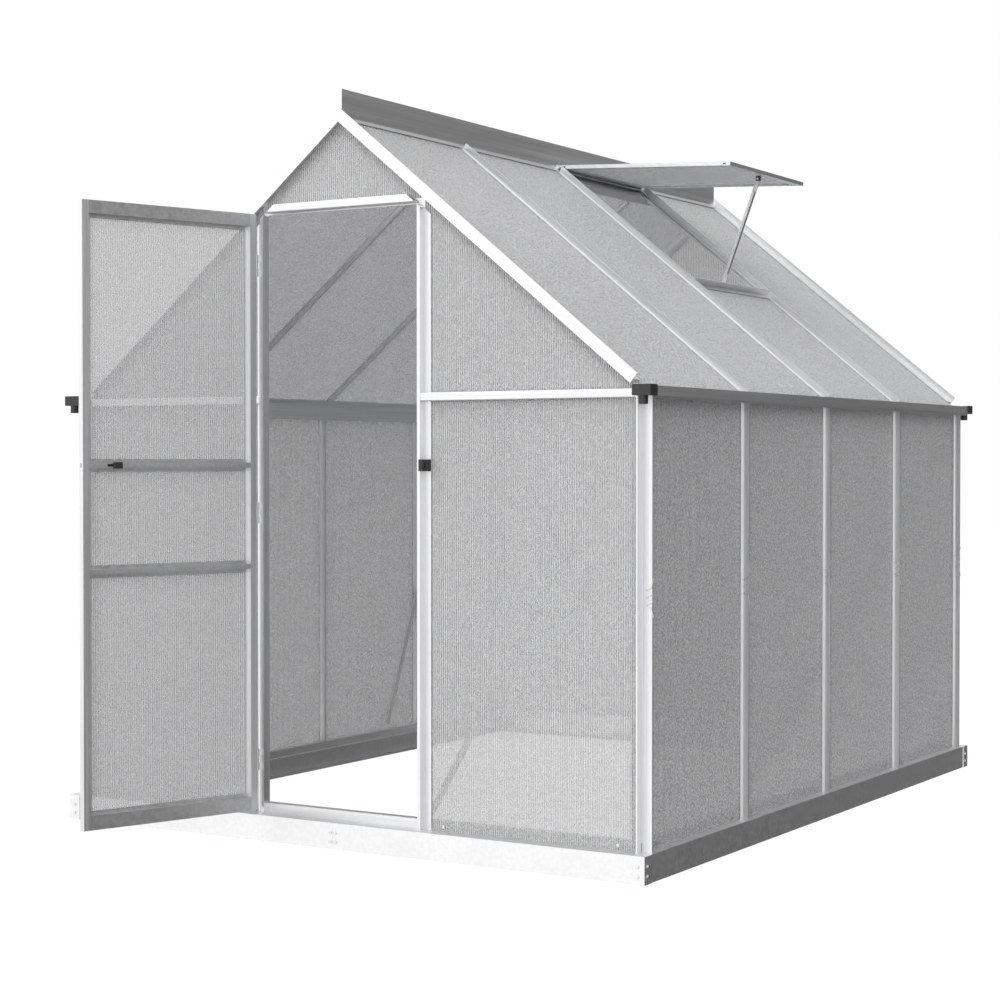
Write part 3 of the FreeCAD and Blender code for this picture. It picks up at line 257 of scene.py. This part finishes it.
def place_group(
    tree: bpy.types.NodeTree, group: bpy.types.NodeTree, values: dict[str, object]
) -> bpy.types.Node:
    """Places a shared group in a material.

    Args:
        tree: the material's tree.
        group: the group.
        values: its inputs by name.

    Returns:
        The group node.
    """
    node = tree.nodes.new("ShaderNodeGroup")
    node.node_tree = group
    for name, value in values.items():
        node.inputs[name].default_value = value
    return node


def blended(
    tree: bpy.types.NodeTree,
    factor: bpy.types.NodeSocket,
    low: Colour,
    high: Colour,
    between: tuple[float, float] = NOISE_RANGE,
) -> bpy.types.NodeSocket:
    """A colour that changes over the surface between two.

    Args:
        tree: the material's tree.
        factor: the value that drives it.
        low: the colour below the range.
        high: the colour above it.
        between: the range of the value.

    Returns:
        The colour socket.
    """
    ramp = tree.nodes.new("ShaderNodeValToRGB")
    ramp.color_ramp.elements[0].position = between[0]
    ramp.color_ramp.elements[1].position = between[1]
    ramp.color_ramp.elements[0].color = (*low, 1.0)
    ramp.color_ramp.elements[1].color = (*high, 1.0)
    tree.links.new(factor, ramp.inputs["Fac"])
    return ramp.outputs["Color"]


def ranged(
    tree: bpy.types.NodeTree, value: bpy.types.NodeSocket, low: float, high: float
) -> bpy.types.NodeSocket:
    """Maps a noise's values onto a range.

    Args:
        tree: the material's tree.
        value: the value.
        low: the result at the start of NOISE_RANGE.
        high: the result at its end.

    Returns:
        The result's socket.
    """
    node = tree.nodes.new("ShaderNodeMapRange")
    node.inputs["From Min"].default_value = NOISE_RANGE[0]
    node.inputs["From Max"].default_value = NOISE_RANGE[1]
    node.inputs["To Min"].default_value = low
    node.inputs["To Max"].default_value = high
    tree.links.new(value, node.inputs["Value"])
    return node.outputs["Result"]


def dusted(
    tree: bpy.types.NodeTree,
    effects: Effects,
    clean: bpy.types.NodeSocket,
    amount: float,
    dust: Colour,
) -> bpy.types.NodeSocket:
    """Lays the shared dust film over a colour.

    Args:
        tree: the material's tree.
        effects: the shared groups.
        clean: the colour without dust.
        amount: how much dust.
        dust: the dust's colour.

    Returns:
        The colour socket.
    """
    film = place_group(tree, effects.dust, {"Amount": amount})
    mix = tree.nodes.new("ShaderNodeMix")
    mix.data_type = "RGBA"
    under, over = (socket for socket in mix.inputs if socket.type == "RGBA")
    tree.links.new(film.outputs["Mask"], mix.inputs["Factor"])
    tree.links.new(clean, under)
    over.default_value = (*dust, 1.0)
    return next(socket for socket in mix.outputs if socket.type == "RGBA")


def bumped(
    tree: bpy.types.NodeTree,
    shader: bpy.types.Node,
    height: bpy.types.NodeSocket,
    strength: float,
    depth: float,
) -> None:
    """Feeds a height into the shader's normal.

    Args:
        tree: the material's tree.
        shader: its Principled shader.
        height: the height.
        strength: the bump's strength.
        depth: the bump's distance in metres.
    """
    bump = tree.nodes.new("ShaderNodeBump")
    bump.inputs["Strength"].default_value = strength
    bump.inputs["Distance"].default_value = depth
    tree.links.new(height, bump.inputs["Height"])
    tree.links.new(bump.outputs["Normal"], shader.inputs["Normal"])


@dataclass(frozen=True)
class DrawnAluminium:
    """Mill-finish aluminium extrusion, with die lines along the bar."""

    name: str
    run: Run
    light: Colour = (0.86, 0.865, 0.87)
    shade: Colour = (0.74, 0.745, 0.75)
    dust: Colour = (0.62, 0.61, 0.60)
    dust_amount: float = 0.25
    roughness: tuple[float, float] = (0.30, 0.44)
    metal: float = 0.9
    bump: tuple[float, float] = (0.25, 0.0004)

    def make(self, effects: Effects) -> bpy.types.Material:
        """Builds the material.

        Args:
            effects: the shared groups.

        Returns:
            The material.
        """
        material = bpy.data.materials.new(self.name)
        tree, shader = tree_of(material)
        grain = place_group(tree, effects.grain, {"Turn": self.run.value})
        metal = blended(tree, grain.outputs["Streaks"], self.shade, self.light)
        tint = dusted(tree, effects, metal, self.dust_amount, self.dust)
        gloss = ranged(tree, grain.outputs["Streaks"], *self.roughness)
        tree.links.new(tint, shader.inputs["Base Color"])
        tree.links.new(gloss, shader.inputs["Roughness"])
        shader.inputs["Metallic"].default_value = self.metal
        bumped(tree, shader, grain.outputs["Height"], *self.bump)
        return material


@dataclass(frozen=True)
class GalvanisedSteel:
    """Folded galvanised sheet, with faint spangle."""

    name: str = "Galvanised steel"
    light: Colour = (0.90, 0.905, 0.91)
    shade: Colour = (0.80, 0.805, 0.81)
    dust: Colour = (0.55, 0.54, 0.53)
    dust_amount: float = 0.35
    spangle: float = 85.0
    roughness: tuple[float, float] = (0.34, 0.50)
    metal: float = 0.9
    bump: tuple[float, float] = (0.12, 0.0005)

    def make(self, effects: Effects) -> bpy.types.Material:
        """Builds the material.

        Args:
            effects: the shared groups.

        Returns:
            The material.
        """
        material = bpy.data.materials.new(self.name)
        tree, shader = tree_of(material)
        spangle = place_group(tree, effects.mottle, {"Scale": self.spangle})
        steel = blended(tree, spangle.outputs["Spots"], self.shade, self.light)
        tint = dusted(tree, effects, steel, self.dust_amount, self.dust)
        gloss = ranged(tree, spangle.outputs["Spots"], *self.roughness)
        tree.links.new(tint, shader.inputs["Base Color"])
        tree.links.new(gloss, shader.inputs["Roughness"])
        shader.inputs["Metallic"].default_value = self.metal
        bumped(tree, shader, spangle.outputs["Height"], *self.bump)
        return material


@dataclass(frozen=True)
class ZincPlate:
    """Bright zinc on screws, clips and pins."""

    name: str = "Zinc plate"
    light: Colour = (0.80, 0.80, 0.79)
    shade: Colour = (0.62, 0.63, 0.64)
    spots: float = 420.0
    roughness: tuple[float, float] = (0.22, 0.38)
    bump: tuple[float, float] = (0.1, 0.0002)

    def make(self, effects: Effects) -> bpy.types.Material:
        """Builds the material.

        Args:
            effects: the shared groups.

        Returns:
            The material.
        """
        material = bpy.data.materials.new(self.name)
        tree, shader = tree_of(material)
        spots = place_group(tree, effects.mottle, {"Scale": self.spots})
        tint = blended(tree, spots.outputs["Spots"], self.shade, self.light)
        gloss = ranged(tree, spots.outputs["Spots"], *self.roughness)
        tree.links.new(tint, shader.inputs["Base Color"])
        tree.links.new(gloss, shader.inputs["Roughness"])
        shader.inputs["Metallic"].default_value = 1.0
        bumped(tree, shader, spots.outputs["Height"], *self.bump)
        return material


@dataclass(frozen=True)
class MouldedBlack:
    """Black moulded plastic with a fine spark-eroded skin."""

    name: str = "Moulded black plastic"
    clean: Colour = (0.018, 0.018, 0.019)
    dusty: Colour = (0.05, 0.05, 0.05)
    dust_amount: float = 0.10
    skin: float = 900.0
    roughness: tuple[float, float] = (0.42, 0.58)
    bump: tuple[float, float] = (0.3, 0.0002)

    def make(self, effects: Effects) -> bpy.types.Material:
        """Builds the material.

        Args:
            effects: the shared groups.

        Returns:
            The material.
        """
        material = bpy.data.materials.new(self.name)
        tree, shader = tree_of(material)
        skin = place_group(tree, effects.mottle, {"Scale": self.skin})
        dust = place_group(tree, effects.dust, {"Amount": self.dust_amount})
        tint = blended(tree, dust.outputs["Mask"], self.clean, self.dusty, (0.0, self.dust_amount))
        gloss = ranged(tree, skin.outputs["Spots"], *self.roughness)
        tree.links.new(tint, shader.inputs["Base Color"])
        tree.links.new(gloss, shader.inputs["Roughness"])
        bumped(tree, shader, skin.outputs["Height"], *self.bump)
        return material


@dataclass(frozen=True)
class FrostedSheet:
    """Twin-wall polycarbonate: a frosted skin that lets part of the light through."""

    name: str
    light: Colour
    shade: Colour
    tone_range: tuple[float, float] = (0.42, 0.58)
    cover: tuple[float, float] = (0.22, 0.34)
    veil: float = 0.06
    frost: float = 170.0
    roughness: tuple[float, float] = (0.38, 0.55)
    bump: tuple[float, float] = (0.15, 0.0003)

    def make(self, effects: Effects) -> bpy.types.Material:
        """Builds the material.

        Args:
            effects: the shared groups.

        Returns:
            The material.
        """
        material = bpy.data.materials.new(self.name)
        tree, shader = tree_of(material)
        frost = place_group(tree, effects.mottle, {"Scale": self.frost})
        cloud = place_group(tree, effects.dust, {"Amount": 1.0})
        spots = frost.outputs["Spots"]
        tint = blended(tree, spots, self.shade, self.light, self.tone_range)
        veil = math_node(tree, "MULTIPLY", cloud.outputs["Mask"], self.veil)
        cover = math_node(tree, "ADD", ranged(tree, spots, *self.cover), veil)
        tree.links.new(tint, shader.inputs["Base Color"])
        tree.links.new(ranged(tree, spots, *self.roughness), shader.inputs["Roughness"])
        tree.links.new(cover, shader.inputs["Alpha"])
        bumped(tree, shader, frost.outputs["Height"], *self.bump)
        return material


@dataclass(frozen=True)
class SheetRib:
    """The ribs between the skins, seen edge on, where the plastic is thick and milky."""

    name: str
    light: Colour
    shade: Colour
    cover: tuple[float, float] = (0.55, 0.72)
    frost: float = 160.0
    roughness: tuple[float, float] = (0.32, 0.48)

    def make(self, effects: Effects) -> bpy.types.Material:
        """Builds the material.

        Args:
            effects: the shared groups.

        Returns:
            The material.
        """
        material = bpy.data.materials.new(self.name)
        tree, shader = tree_of(material)
        spots = place_group(tree, effects.mottle, {"Scale": self.frost}).outputs["Spots"]
        tint = blended(tree, spots, self.shade, self.light)
        tree.links.new(tint, shader.inputs["Base Color"])
        tree.links.new(ranged(tree, spots, *self.roughness), shader.inputs["Roughness"])
        tree.links.new(ranged(tree, spots, *self.cover), shader.inputs["Alpha"])
        return material


# ---------------------------------------------------------------- modelling helpers


def deselect_all() -> None:
    """Leaves object mode with nothing selected."""
    if bpy.context.object and bpy.context.object.mode != "OBJECT":
        bpy.ops.object.mode_set(mode="OBJECT")
    bpy.ops.object.select_all(action="DESELECT")


def pick(piece: bpy.types.Object) -> None:
    """Makes one object the only one selected, and active.

    Args:
        piece: the object.
    """
    deselect_all()
    piece.select_set(True)
    bpy.context.view_layer.objects.active = piece


def pick_faces(piece: bpy.types.Object, test: Callable[[bpy.types.MeshPolygon], bool]) -> None:
    """Selects the faces that pass a test and goes into edit mode.

    Args:
        piece: the object.
        test: takes a face and says whether it is wanted.
    """
    bpy.ops.object.mode_set(mode="OBJECT")
    bpy.context.tool_settings.mesh_select_mode = (False, False, True)
    for vertex in piece.data.vertices:
        vertex.select = False
    for edge in piece.data.edges:
        edge.select = False
    for face in piece.data.polygons:
        face.select = bool(test(face))
    bpy.ops.object.mode_set(mode="EDIT")


def apply_place(piece: bpy.types.Object) -> None:
    """Moves an object's place into its mesh.

    Args:
        piece: the object.
    """
    pick(piece)
    bpy.ops.object.transform_apply(location=True, rotation=True, scale=True)


def joined(pieces: list[bpy.types.Object], name: str) -> bpy.types.Object:
    """Joins finished pieces that one node stands for.

    Args:
        pieces: the pieces.
        name: the name of the result.

    Returns:
        The joined object.
    """
    deselect_all()
    for piece in pieces:
        piece.select_set(True)
    bpy.context.view_layer.objects.active = pieces[0]
    if len(pieces) > 1:
        bpy.ops.object.join()
    whole = bpy.context.view_layer.objects.active
    whole.name = name
    return whole


def finished(
    piece: bpy.types.Object, material: bpy.types.Material | None, body: str, slot: str, *nodes: str
) -> None:
    """Dresses a new piece, hangs it on its body and hides the nodes that it stands for.

    Args:
        piece: the piece.
        material: its finish, or None where it is dressed already.
        body: the body it rides on.
        slot: the record's material slot; not used.
        nodes: the nodes it replaces.
    """
    if material is not None:
        piece.data.materials.clear()
        piece.data.materials.append(material)
    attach(piece, body)
    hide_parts(*nodes)
    LOG.info("%s: %d faces on %s", piece.name, len(piece.data.polygons), body)


@dataclass
class Blank:
    """One solid of a node, read from the frame: its corners, and its faces as planes."""

    points: list[Vector]
    planes: list[tuple[Vector, Vector, float]] = field(default_factory=list)

    @property
    def face(self) -> Vector:
        """The normal of its largest flat side."""
        sizes: dict[tuple[float, ...], float] = {}
        for _, normal, area in self.planes:
            key = tuple(round(abs(v), 2) for v in normal)
            sizes[key] = sizes.get(key, 0.0) + area
        best = max(sizes, key=sizes.get)
        return next(n for _, n, _ in self.planes if tuple(round(abs(v), 2) for v in n) == best)

    def span(self, way: Vector) -> tuple[float, float]:
        """How far it reaches along a direction.

        Args:
            way: the direction.

        Returns:
            The lowest and highest reach.
        """
        reach = [way.dot(p) for p in self.points]
        return min(reach), max(reach)

    @property
    def centre(self) -> Vector:
        """The middle of its box."""
        low = Vector(min(p[i] for p in self.points) for i in range(3))
        high = Vector(max(p[i] for p in self.points) for i in range(3))
        return (low + high) / 2


def blanks(node: bpy.types.Object) -> list[Blank]:
    """Splits a node into its separate solids.

    Args:
        node: the node's object.

    Returns:
        One blank for each solid.
    """
    mesh = node.data
    spot: dict[tuple[float, float, float], int] = {}
    ids = [spot.setdefault(tuple(round(c, 5) for c in v.co), len(spot)) for v in mesh.vertices]
    root = list(range(len(spot)))

    def find(i: int) -> int:
        """Looks up the solid that a corner belongs to.

        Args:
            i: the corner's number.

        Returns:
            The number that stands for the solid.
        """
        while root[i] != i:
            root[i] = root[root[i]]
            i = root[i]
        return i

    for face in mesh.polygons:
        first = find(ids[face.vertices[0]])
        for v in face.vertices[1:]:
            root[find(ids[v])] = first
    found: dict[int, Blank] = {}
    for v in mesh.vertices:
        found.setdefault(find(ids[v.index]), Blank([])).points.append(v.co.copy())
    for face in mesh.polygons:
        corner = mesh.vertices[face.vertices[0]]
        plane = (corner.co.copy(), face.normal.copy(), face.area)
        found[find(ids[corner.index])].planes.append(plane)
    return sorted(found.values(), key=lambda b: tuple(round(c, 3) for c in b.centre))


# ---------------------------------------------------------------- panes


@dataclass
class TwinWallGlazing:
    """The panes of one node: two skins joined by ribs that run down the pane."""

    node: str
    body: str
    finish: bpy.types.Material
    rib_finish: bpy.types.Material
    flute: float = 0.007
    skin: float = 0.0004
    rib_edge: float = 0.0006
    square_edge: float = 0.98

    def channel(self, wide: float, long: float, deep: float) -> bpy.types.Object:
        """Models one flute: a length of both skins round a channel, with half a rib at each side.

        Args:
            wide: the flute's width.
            long: the pane's length along the flute.
            deep: the pane's thickness.

        Returns:
            The flute, at the origin.
        """
        deselect_all()
        bpy.ops.mesh.primitive_cube_add(size=1.0)
        piece = bpy.context.object
        piece.scale = (wide, long, deep)
        apply_place(piece)
        edge = wide / 2 - self.rib_edge
        bpy.ops.object.mode_set(mode="EDIT")
        for side in (-edge, edge):
            bpy.ops.mesh.select_all(action="SELECT")
            bpy.ops.mesh.bisect(plane_co=(side, 0.0, 0.0), plane_no=(1.0, 0.0, 0.0))
        pick_faces(piece, lambda f: abs(f.normal.y) > ALONG_AXIS and abs(f.center.x) < TINY)
        bpy.ops.mesh.inset(thickness=self.skin, use_even_offset=True)
        bpy.ops.mesh.bridge_edge_loops()
        pick_faces(
            piece, lambda f: abs(f.normal.x) > ALONG_AXIS and abs(abs(f.center.x) - wide / 2) < TINY
        )
        bpy.ops.mesh.delete(type="ONLY_FACE")
        bpy.ops.object.mode_set(mode="OBJECT")
        piece.data.materials.append(self.finish)
        piece.data.materials.append(self.rib_finish)
        for face in piece.data.polygons:
            face.material_index = int(abs(face.center.x) > edge or abs(face.normal.x) > ALONG_AXIS)
        return piece

    def sheet(self, blank: Blank) -> bpy.types.Object:
        """Models one pane where its blank lies.

        Args:
            blank: the solid that it stands for.

        Returns:
            The pane, in place.
        """
        out = blank.face.normalized()
        run = (Vector((0, 0, 1)) - out * out.z).normalized()
        across = run.cross(out).normalized()
        (x0, x1), (y0, y1), (z0, z1) = (blank.span(way) for way in (across, run, out))
        count = max(1, round((x1 - x0) / self.flute))
        wide = (x1 - x0) / count
        piece = self.channel(wide, y1 - y0, z1 - z0)
        repeat = piece.modifiers.new("Flutes", "ARRAY")
        repeat.count = count
        repeat.use_relative_offset = False
        repeat.use_constant_offset = True
        repeat.constant_offset_displace = (wide, 0.0, 0.0)
        repeat.use_merge_vertices = True
        repeat.merge_threshold = TINY
        pick(piece)
        bpy.ops.object.modifier_apply(modifier=repeat.name)
        bpy.ops.object.mode_set(mode="EDIT")
        bpy.context.tool_settings.mesh_select_mode = (True, False, False)
        bpy.ops.mesh.select_all(action="DESELECT")
        bpy.ops.mesh.select_non_manifold()
        bpy.ops.mesh.fill_holes(sides=4)
        bpy.ops.object.mode_set(mode="OBJECT")
        turn = Matrix((across, run, out)).transposed().to_4x4()
        start = across * (x0 + wide / 2) + run * (y0 + y1) / 2 + out * (z0 + z1) / 2
        piece.matrix_world = Matrix.Translation(start) @ turn
        apply_place(piece)
        for point, normal in self.slanted_cuts(blank, out, run, across):
            bpy.ops.object.mode_set(mode="EDIT")
            bpy.ops.mesh.select_all(action="SELECT")
            bpy.ops.mesh.bisect(plane_co=point, plane_no=normal, use_fill=True, clear_outer=True)
            bpy.ops.object.mode_set(mode="OBJECT")
        return piece

    def slanted_cuts(
        self, blank: Blank, out: Vector, run: Vector, across: Vector
    ) -> list[tuple[Vector, Vector]]:
        """The pane's edges that follow the roof slope.

        Args:
            blank: the solid.
            out: the pane's normal.
            run: the direction of its flutes.
            across: the direction across them.

        Returns:
            A point and an outward normal for each such edge.
        """
        cuts: dict[tuple[float, ...], tuple[Vector, Vector]] = {}
        for point, normal, area in blank.planes:
            square = max(abs(normal.dot(way)) for way in (out, run, across))
            if square < self.square_edge and area > SLIVER:
                cuts[tuple(round(v, 2) for v in normal)] = (point, normal)
        return list(cuts.values())

    def build(self, nodes: dict[str, bpy.types.Object]) -> bpy.types.Object:
        """Models every pane of the node and dresses them.

        Args:
            nodes: the frame's nodes.

        Returns:
            The panes, as one object.
        """
        panes = [self.sheet(blank) for blank in blanks(nodes[self.node])]
        whole = joined(panes, f"{self.node}_twin_wall")
        finished(whole, None, self.body, "twin_wall_sheet", self.node)
        return whole


# ---------------------------------------------------------------- room and camera


@dataclass
class Studio:
    """A plain pale floor, soft light from the front and above, and the camera."""

    eye: tuple[float, float, float] = (3.4674, -6.0397, 1.0862)
    tilt: float = math.pi / 2 - 0.0179
    heading: float = 0.547
    lens: float = 75.8
    sensor: float = 36.0
    front: Direction = (-0.15, -0.96, 0.22)
    front_reach: tuple[float, float] = (-0.5, 0.9)
    rear: Direction = (-0.75, 0.62, 0.2)
    rear_reach: tuple[float, float] = (0.25, 0.95)
    dim: float = 0.10
    front_light: float = 1.5
    rear_light: float = 0.7
    sky_light: float = 0.75
    floor_size: float = 60.0
    floor_depth: float = 0.0005
    clear_layers: int = 40

    def place_camera(self) -> None:
        """Adds the camera."""
        lens = bpy.data.cameras.new("Camera")
        lens.lens = self.lens
        lens.sensor_width = self.sensor
        camera = bpy.data.objects.new("Camera", lens)
        bpy.context.scene.collection.objects.link(camera)
        camera.location = self.eye
        camera.rotation_euler = (self.tilt, 0.0, self.heading)
        bpy.context.scene.camera = camera

    def lay_floor(self, effects: Effects) -> None:
        """Adds the floor.

        Args:
            effects: the shared groups.
        """
        deselect_all()
        place = (0.0, 0.0, -self.floor_depth)
        bpy.ops.mesh.primitive_plane_add(size=self.floor_size, location=place)
        floor = bpy.context.object
        floor.name = "Floor"
        apply_place(floor)
        material = bpy.data.materials.new("Pale floor")
        tree, shader = tree_of(material)
        cloud = place_group(tree, effects.dust, {"Amount": 0.3})
        tint = blended(tree, cloud.outputs["Mask"], (0.99, 0.99, 0.99), (1.0, 1.0, 1.0), (0.0, 0.3))
        tree.links.new(tint, shader.inputs["Emission Color"])
        shader.inputs["Emission Strength"].default_value = 1.0
        shader.inputs["Base Color"].default_value = (0.05, 0.05, 0.05, 1.0)
        shader.inputs["Roughness"].default_value = 1.0
        shader.inputs["Specular IOR Level"].default_value = 0.0
        floor.data.materials.append(material)
        floor.visible_glossy = False
        floor.visible_diffuse = False

    def lobe(
        self,
        tree: bpy.types.NodeTree,
        aim: bpy.types.NodeSocket,
        way: Direction,
        reach: tuple[float, float],
        levels: tuple[float, float],
    ) -> bpy.types.NodeSocket:
        """Light that rises softly towards one direction.

        Args:
            tree: the world's tree.
            aim: the direction that is looked in.
            way: the direction of the light.
            reach: how nearly the two agree where the rise starts and ends.
            levels: the light below and above that.

        Returns:
            The light's level.
        """
        toward = tree.nodes.new("ShaderNodeVectorMath")
        toward.operation = "DOT_PRODUCT"
        toward.inputs[1].default_value = Vector(way).normalized()
        tree.links.new(aim, toward.inputs[0])
        ramp = tree.nodes.new("ShaderNodeMapRange")
        ramp.interpolation_type = "SMOOTHSTEP"
        for name, value in zip(("From Min", "From Max", "To Min", "To Max"), (*reach, *levels)):
            ramp.inputs[name].default_value = value
        tree.links.new(toward.outputs["Value"], ramp.inputs["Value"])
        return ramp.outputs["Result"]

    def light_room(self) -> None:
        """Lights the room: bright in front, softer overhead and at the rear left, dim elsewhere."""
        world = bpy.data.worlds.new("Studio")
        bpy.context.scene.world = world
        world.use_nodes = True
        tree = world.node_tree
        tree.nodes.clear()
        end = tree.nodes.new("ShaderNodeOutputWorld")
        place = tree.nodes.new("ShaderNodeTexCoord")
        aim = place.outputs["Generated"]
        levels = (self.dim, self.dim + self.front_light)
        front = self.lobe(tree, aim, self.front, self.front_reach, levels)
        fill = self.lobe(tree, aim, self.rear, self.rear_reach, (0.0, self.rear_light))
        parts = tree.nodes.new("ShaderNodeSeparateXYZ")
        tree.links.new(aim, parts.inputs[0])
        height = math_node(tree, "MAXIMUM", parts.outputs["Z"], 0.0)
        above = math_node(tree, "MULTIPLY", height, self.sky_light)
        room = tree.nodes.new("ShaderNodeBackground")
        level = math_node(tree, "ADD", math_node(tree, "ADD", front, fill), above)
        tree.links.new(level, room.inputs["Strength"])
        backdrop = tree.nodes.new("ShaderNodeBackground")
        backdrop.inputs["Color"].default_value = (1.0, 1.0, 1.0, 1.0)
        path = tree.nodes.new("ShaderNodeLightPath")
        choose = tree.nodes.new("ShaderNodeMixShader")
        tree.links.new(path.outputs["Is Camera Ray"], choose.inputs["Fac"])
        tree.links.new(room.outputs["Background"], choose.inputs[1])
        tree.links.new(backdrop.outputs["Background"], choose.inputs[2])
        tree.links.new(choose.outputs["Shader"], end.inputs["Surface"])

    def build(self, effects: Effects) -> None:
        """Sets up the room and the camera.

        Args:
            effects: the shared groups.
        """
        self.place_camera()
        self.lay_floor(effects)
        self.light_room()
        bpy.context.scene.view_settings.view_transform = "Standard"
        bpy.context.scene.cycles.transparent_max_bounces = self.clear_layers


# ---------------------------------------------------------------- the greenhouse


@dataclass
class Greenhouse:
    """The whole building: which finish each kept node wears, and the pieces modelled anew."""

    frame: dict[str, object]
    effects: Effects

    def __post_init__(self) -> None:
        """Builds the finishes."""
        every = self.effects
        self.bars = {
            run: DrawnAluminium(f"Aluminium {run.name.lower()}", run).make(every) for run in Run
        }
        self.steel = GalvanisedSteel().make(every)
        self.zinc = ZincPlate().make(every)
        self.black = MouldedBlack().make(every)
        # The door's rails wear a darker copy of the aluminium: painted shade for the recess between
        # the door's stiles.
        self.door_rail_painted_shade = DrawnAluminium(
            "Aluminium door rail, painted shade", Run.ACROSS, (0.72, 0.725, 0.73), (0.60, 0.605, 0.61)
        ).make(every)
        # Each wall's sheet colours are set to how bright that wall looks in the light: painted
        # light and shade, lit and shaded copies of one sheet.
        skins = {
            Wall.END: ((0.66, 0.665, 0.67), (0.50, 0.505, 0.51)),
            Wall.SIDE: ((0.88, 0.885, 0.89), (0.42, 0.425, 0.43)),
            Wall.ROOF: ((0.98, 0.985, 0.99), (0.50, 0.505, 0.51)),
        }
        # The ribs likewise: painted light, brightest on the ends that face the light.
        ribs = {
            Wall.END: ((1.0, 1.0, 1.0), (0.93, 0.935, 0.94)),
            Wall.SIDE: ((0.78, 0.785, 0.79), (0.60, 0.605, 0.61)),
            Wall.ROOF: ((0.84, 0.845, 0.85), (0.68, 0.685, 0.69)),
        }
        self.sheets_painted_per_wall = {
            wall: (
                FrostedSheet(f"Frosted sheet, painted light, {wall.value}", *skins[wall]).make(every),
                SheetRib(f"Sheet rib, painted light, {wall.value}", *ribs[wall]).make(every),
            )
            for wall in Wall
        }

    def finish_of(self, name: str, slot: str) -> bpy.types.Material:
        """The finish that a kept node wears.

        Args:
            name: the node's name.
            slot: its material slot in the record.

        Returns:
            The material.
        """
        plain = {
            "galvanised_steel": self.steel,
            "zinc_fasteners": self.zinc,
            "black_plastic": self.black,
        }
        if slot in plain:
            return plain[slot]
        # Kept sheet nodes take the end wall's painted-light copy.
        if slot == "twin_wall_sheet":
            return self.sheets_painted_per_wall[Wall.END][0]
        # Door rails take the darker copy: painted shade.
        if name.startswith("door_") and name.endswith("_rail"):
            return self.door_rail_painted_shade
        runs = {
            Run.SLOPED: ("rafters", "roof_bars", "vent_side", "vent_stay"),
            Run.ALONG: (
                "side_sills",
                "gutter_",
                "ridge",
                "vent_hinge_rail",
                "vent_lower",
                "vent_sill",
            ),
            Run.ACROSS: ("end_sills", "rails", "header"),
        }
        for run, words in runs.items():
            if any(word in name for word in words):
                return self.bars[run]
        return self.bars[Run.UPRIGHT]

    def dress(self) -> None:
        """Gives each kept node its finish."""
        slots = {part["node"]: part["material_slot"] for part in self.frame["record"]["subparts"]}
        for name, node in self.frame["nodes"].items():
            material = self.finish_of(name, slots.get(name, "mill_aluminium"))
            if not node.material_slots:
                node.data.materials.append(material)
            for place in node.material_slots:
                place.material = material

    def wall_of(self, name: str) -> Wall:
        """The part of the building that a sheet node glazes.

        Args:
            name: the node's name.

        Returns:
            The wall.
        """
        if "roof" in name or "vent" in name:
            return Wall.ROOF
        return Wall.SIDE if "side" in name else Wall.END

    def glaze(self) -> None:
        """Models every pane."""
        bodies = self.frame["record"]["behaviour"]["bodies"]
        for body, members in bodies.items():
            for name in sorted(members):
                if "sheet" in name:
                    # Each wall's panes wear that wall's painted-light copy.
                    finishes = self.sheets_painted_per_wall[self.wall_of(name)]
                    TwinWallGlazing(name, body, *finishes).build(self.frame["nodes"])

    def build(self) -> None:
        """Dresses and models the whole building."""
        self.dress()
        self.glaze()


def main() -> None:
    """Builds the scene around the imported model."""
    logging.basicConfig(level=logging.INFO, format="%(name)s: %(message)s")
    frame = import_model()
    effects = Effects()
    Studio().build(effects)
    Greenhouse(frame, effects).build()


if __name__ == "__main__":
    main()
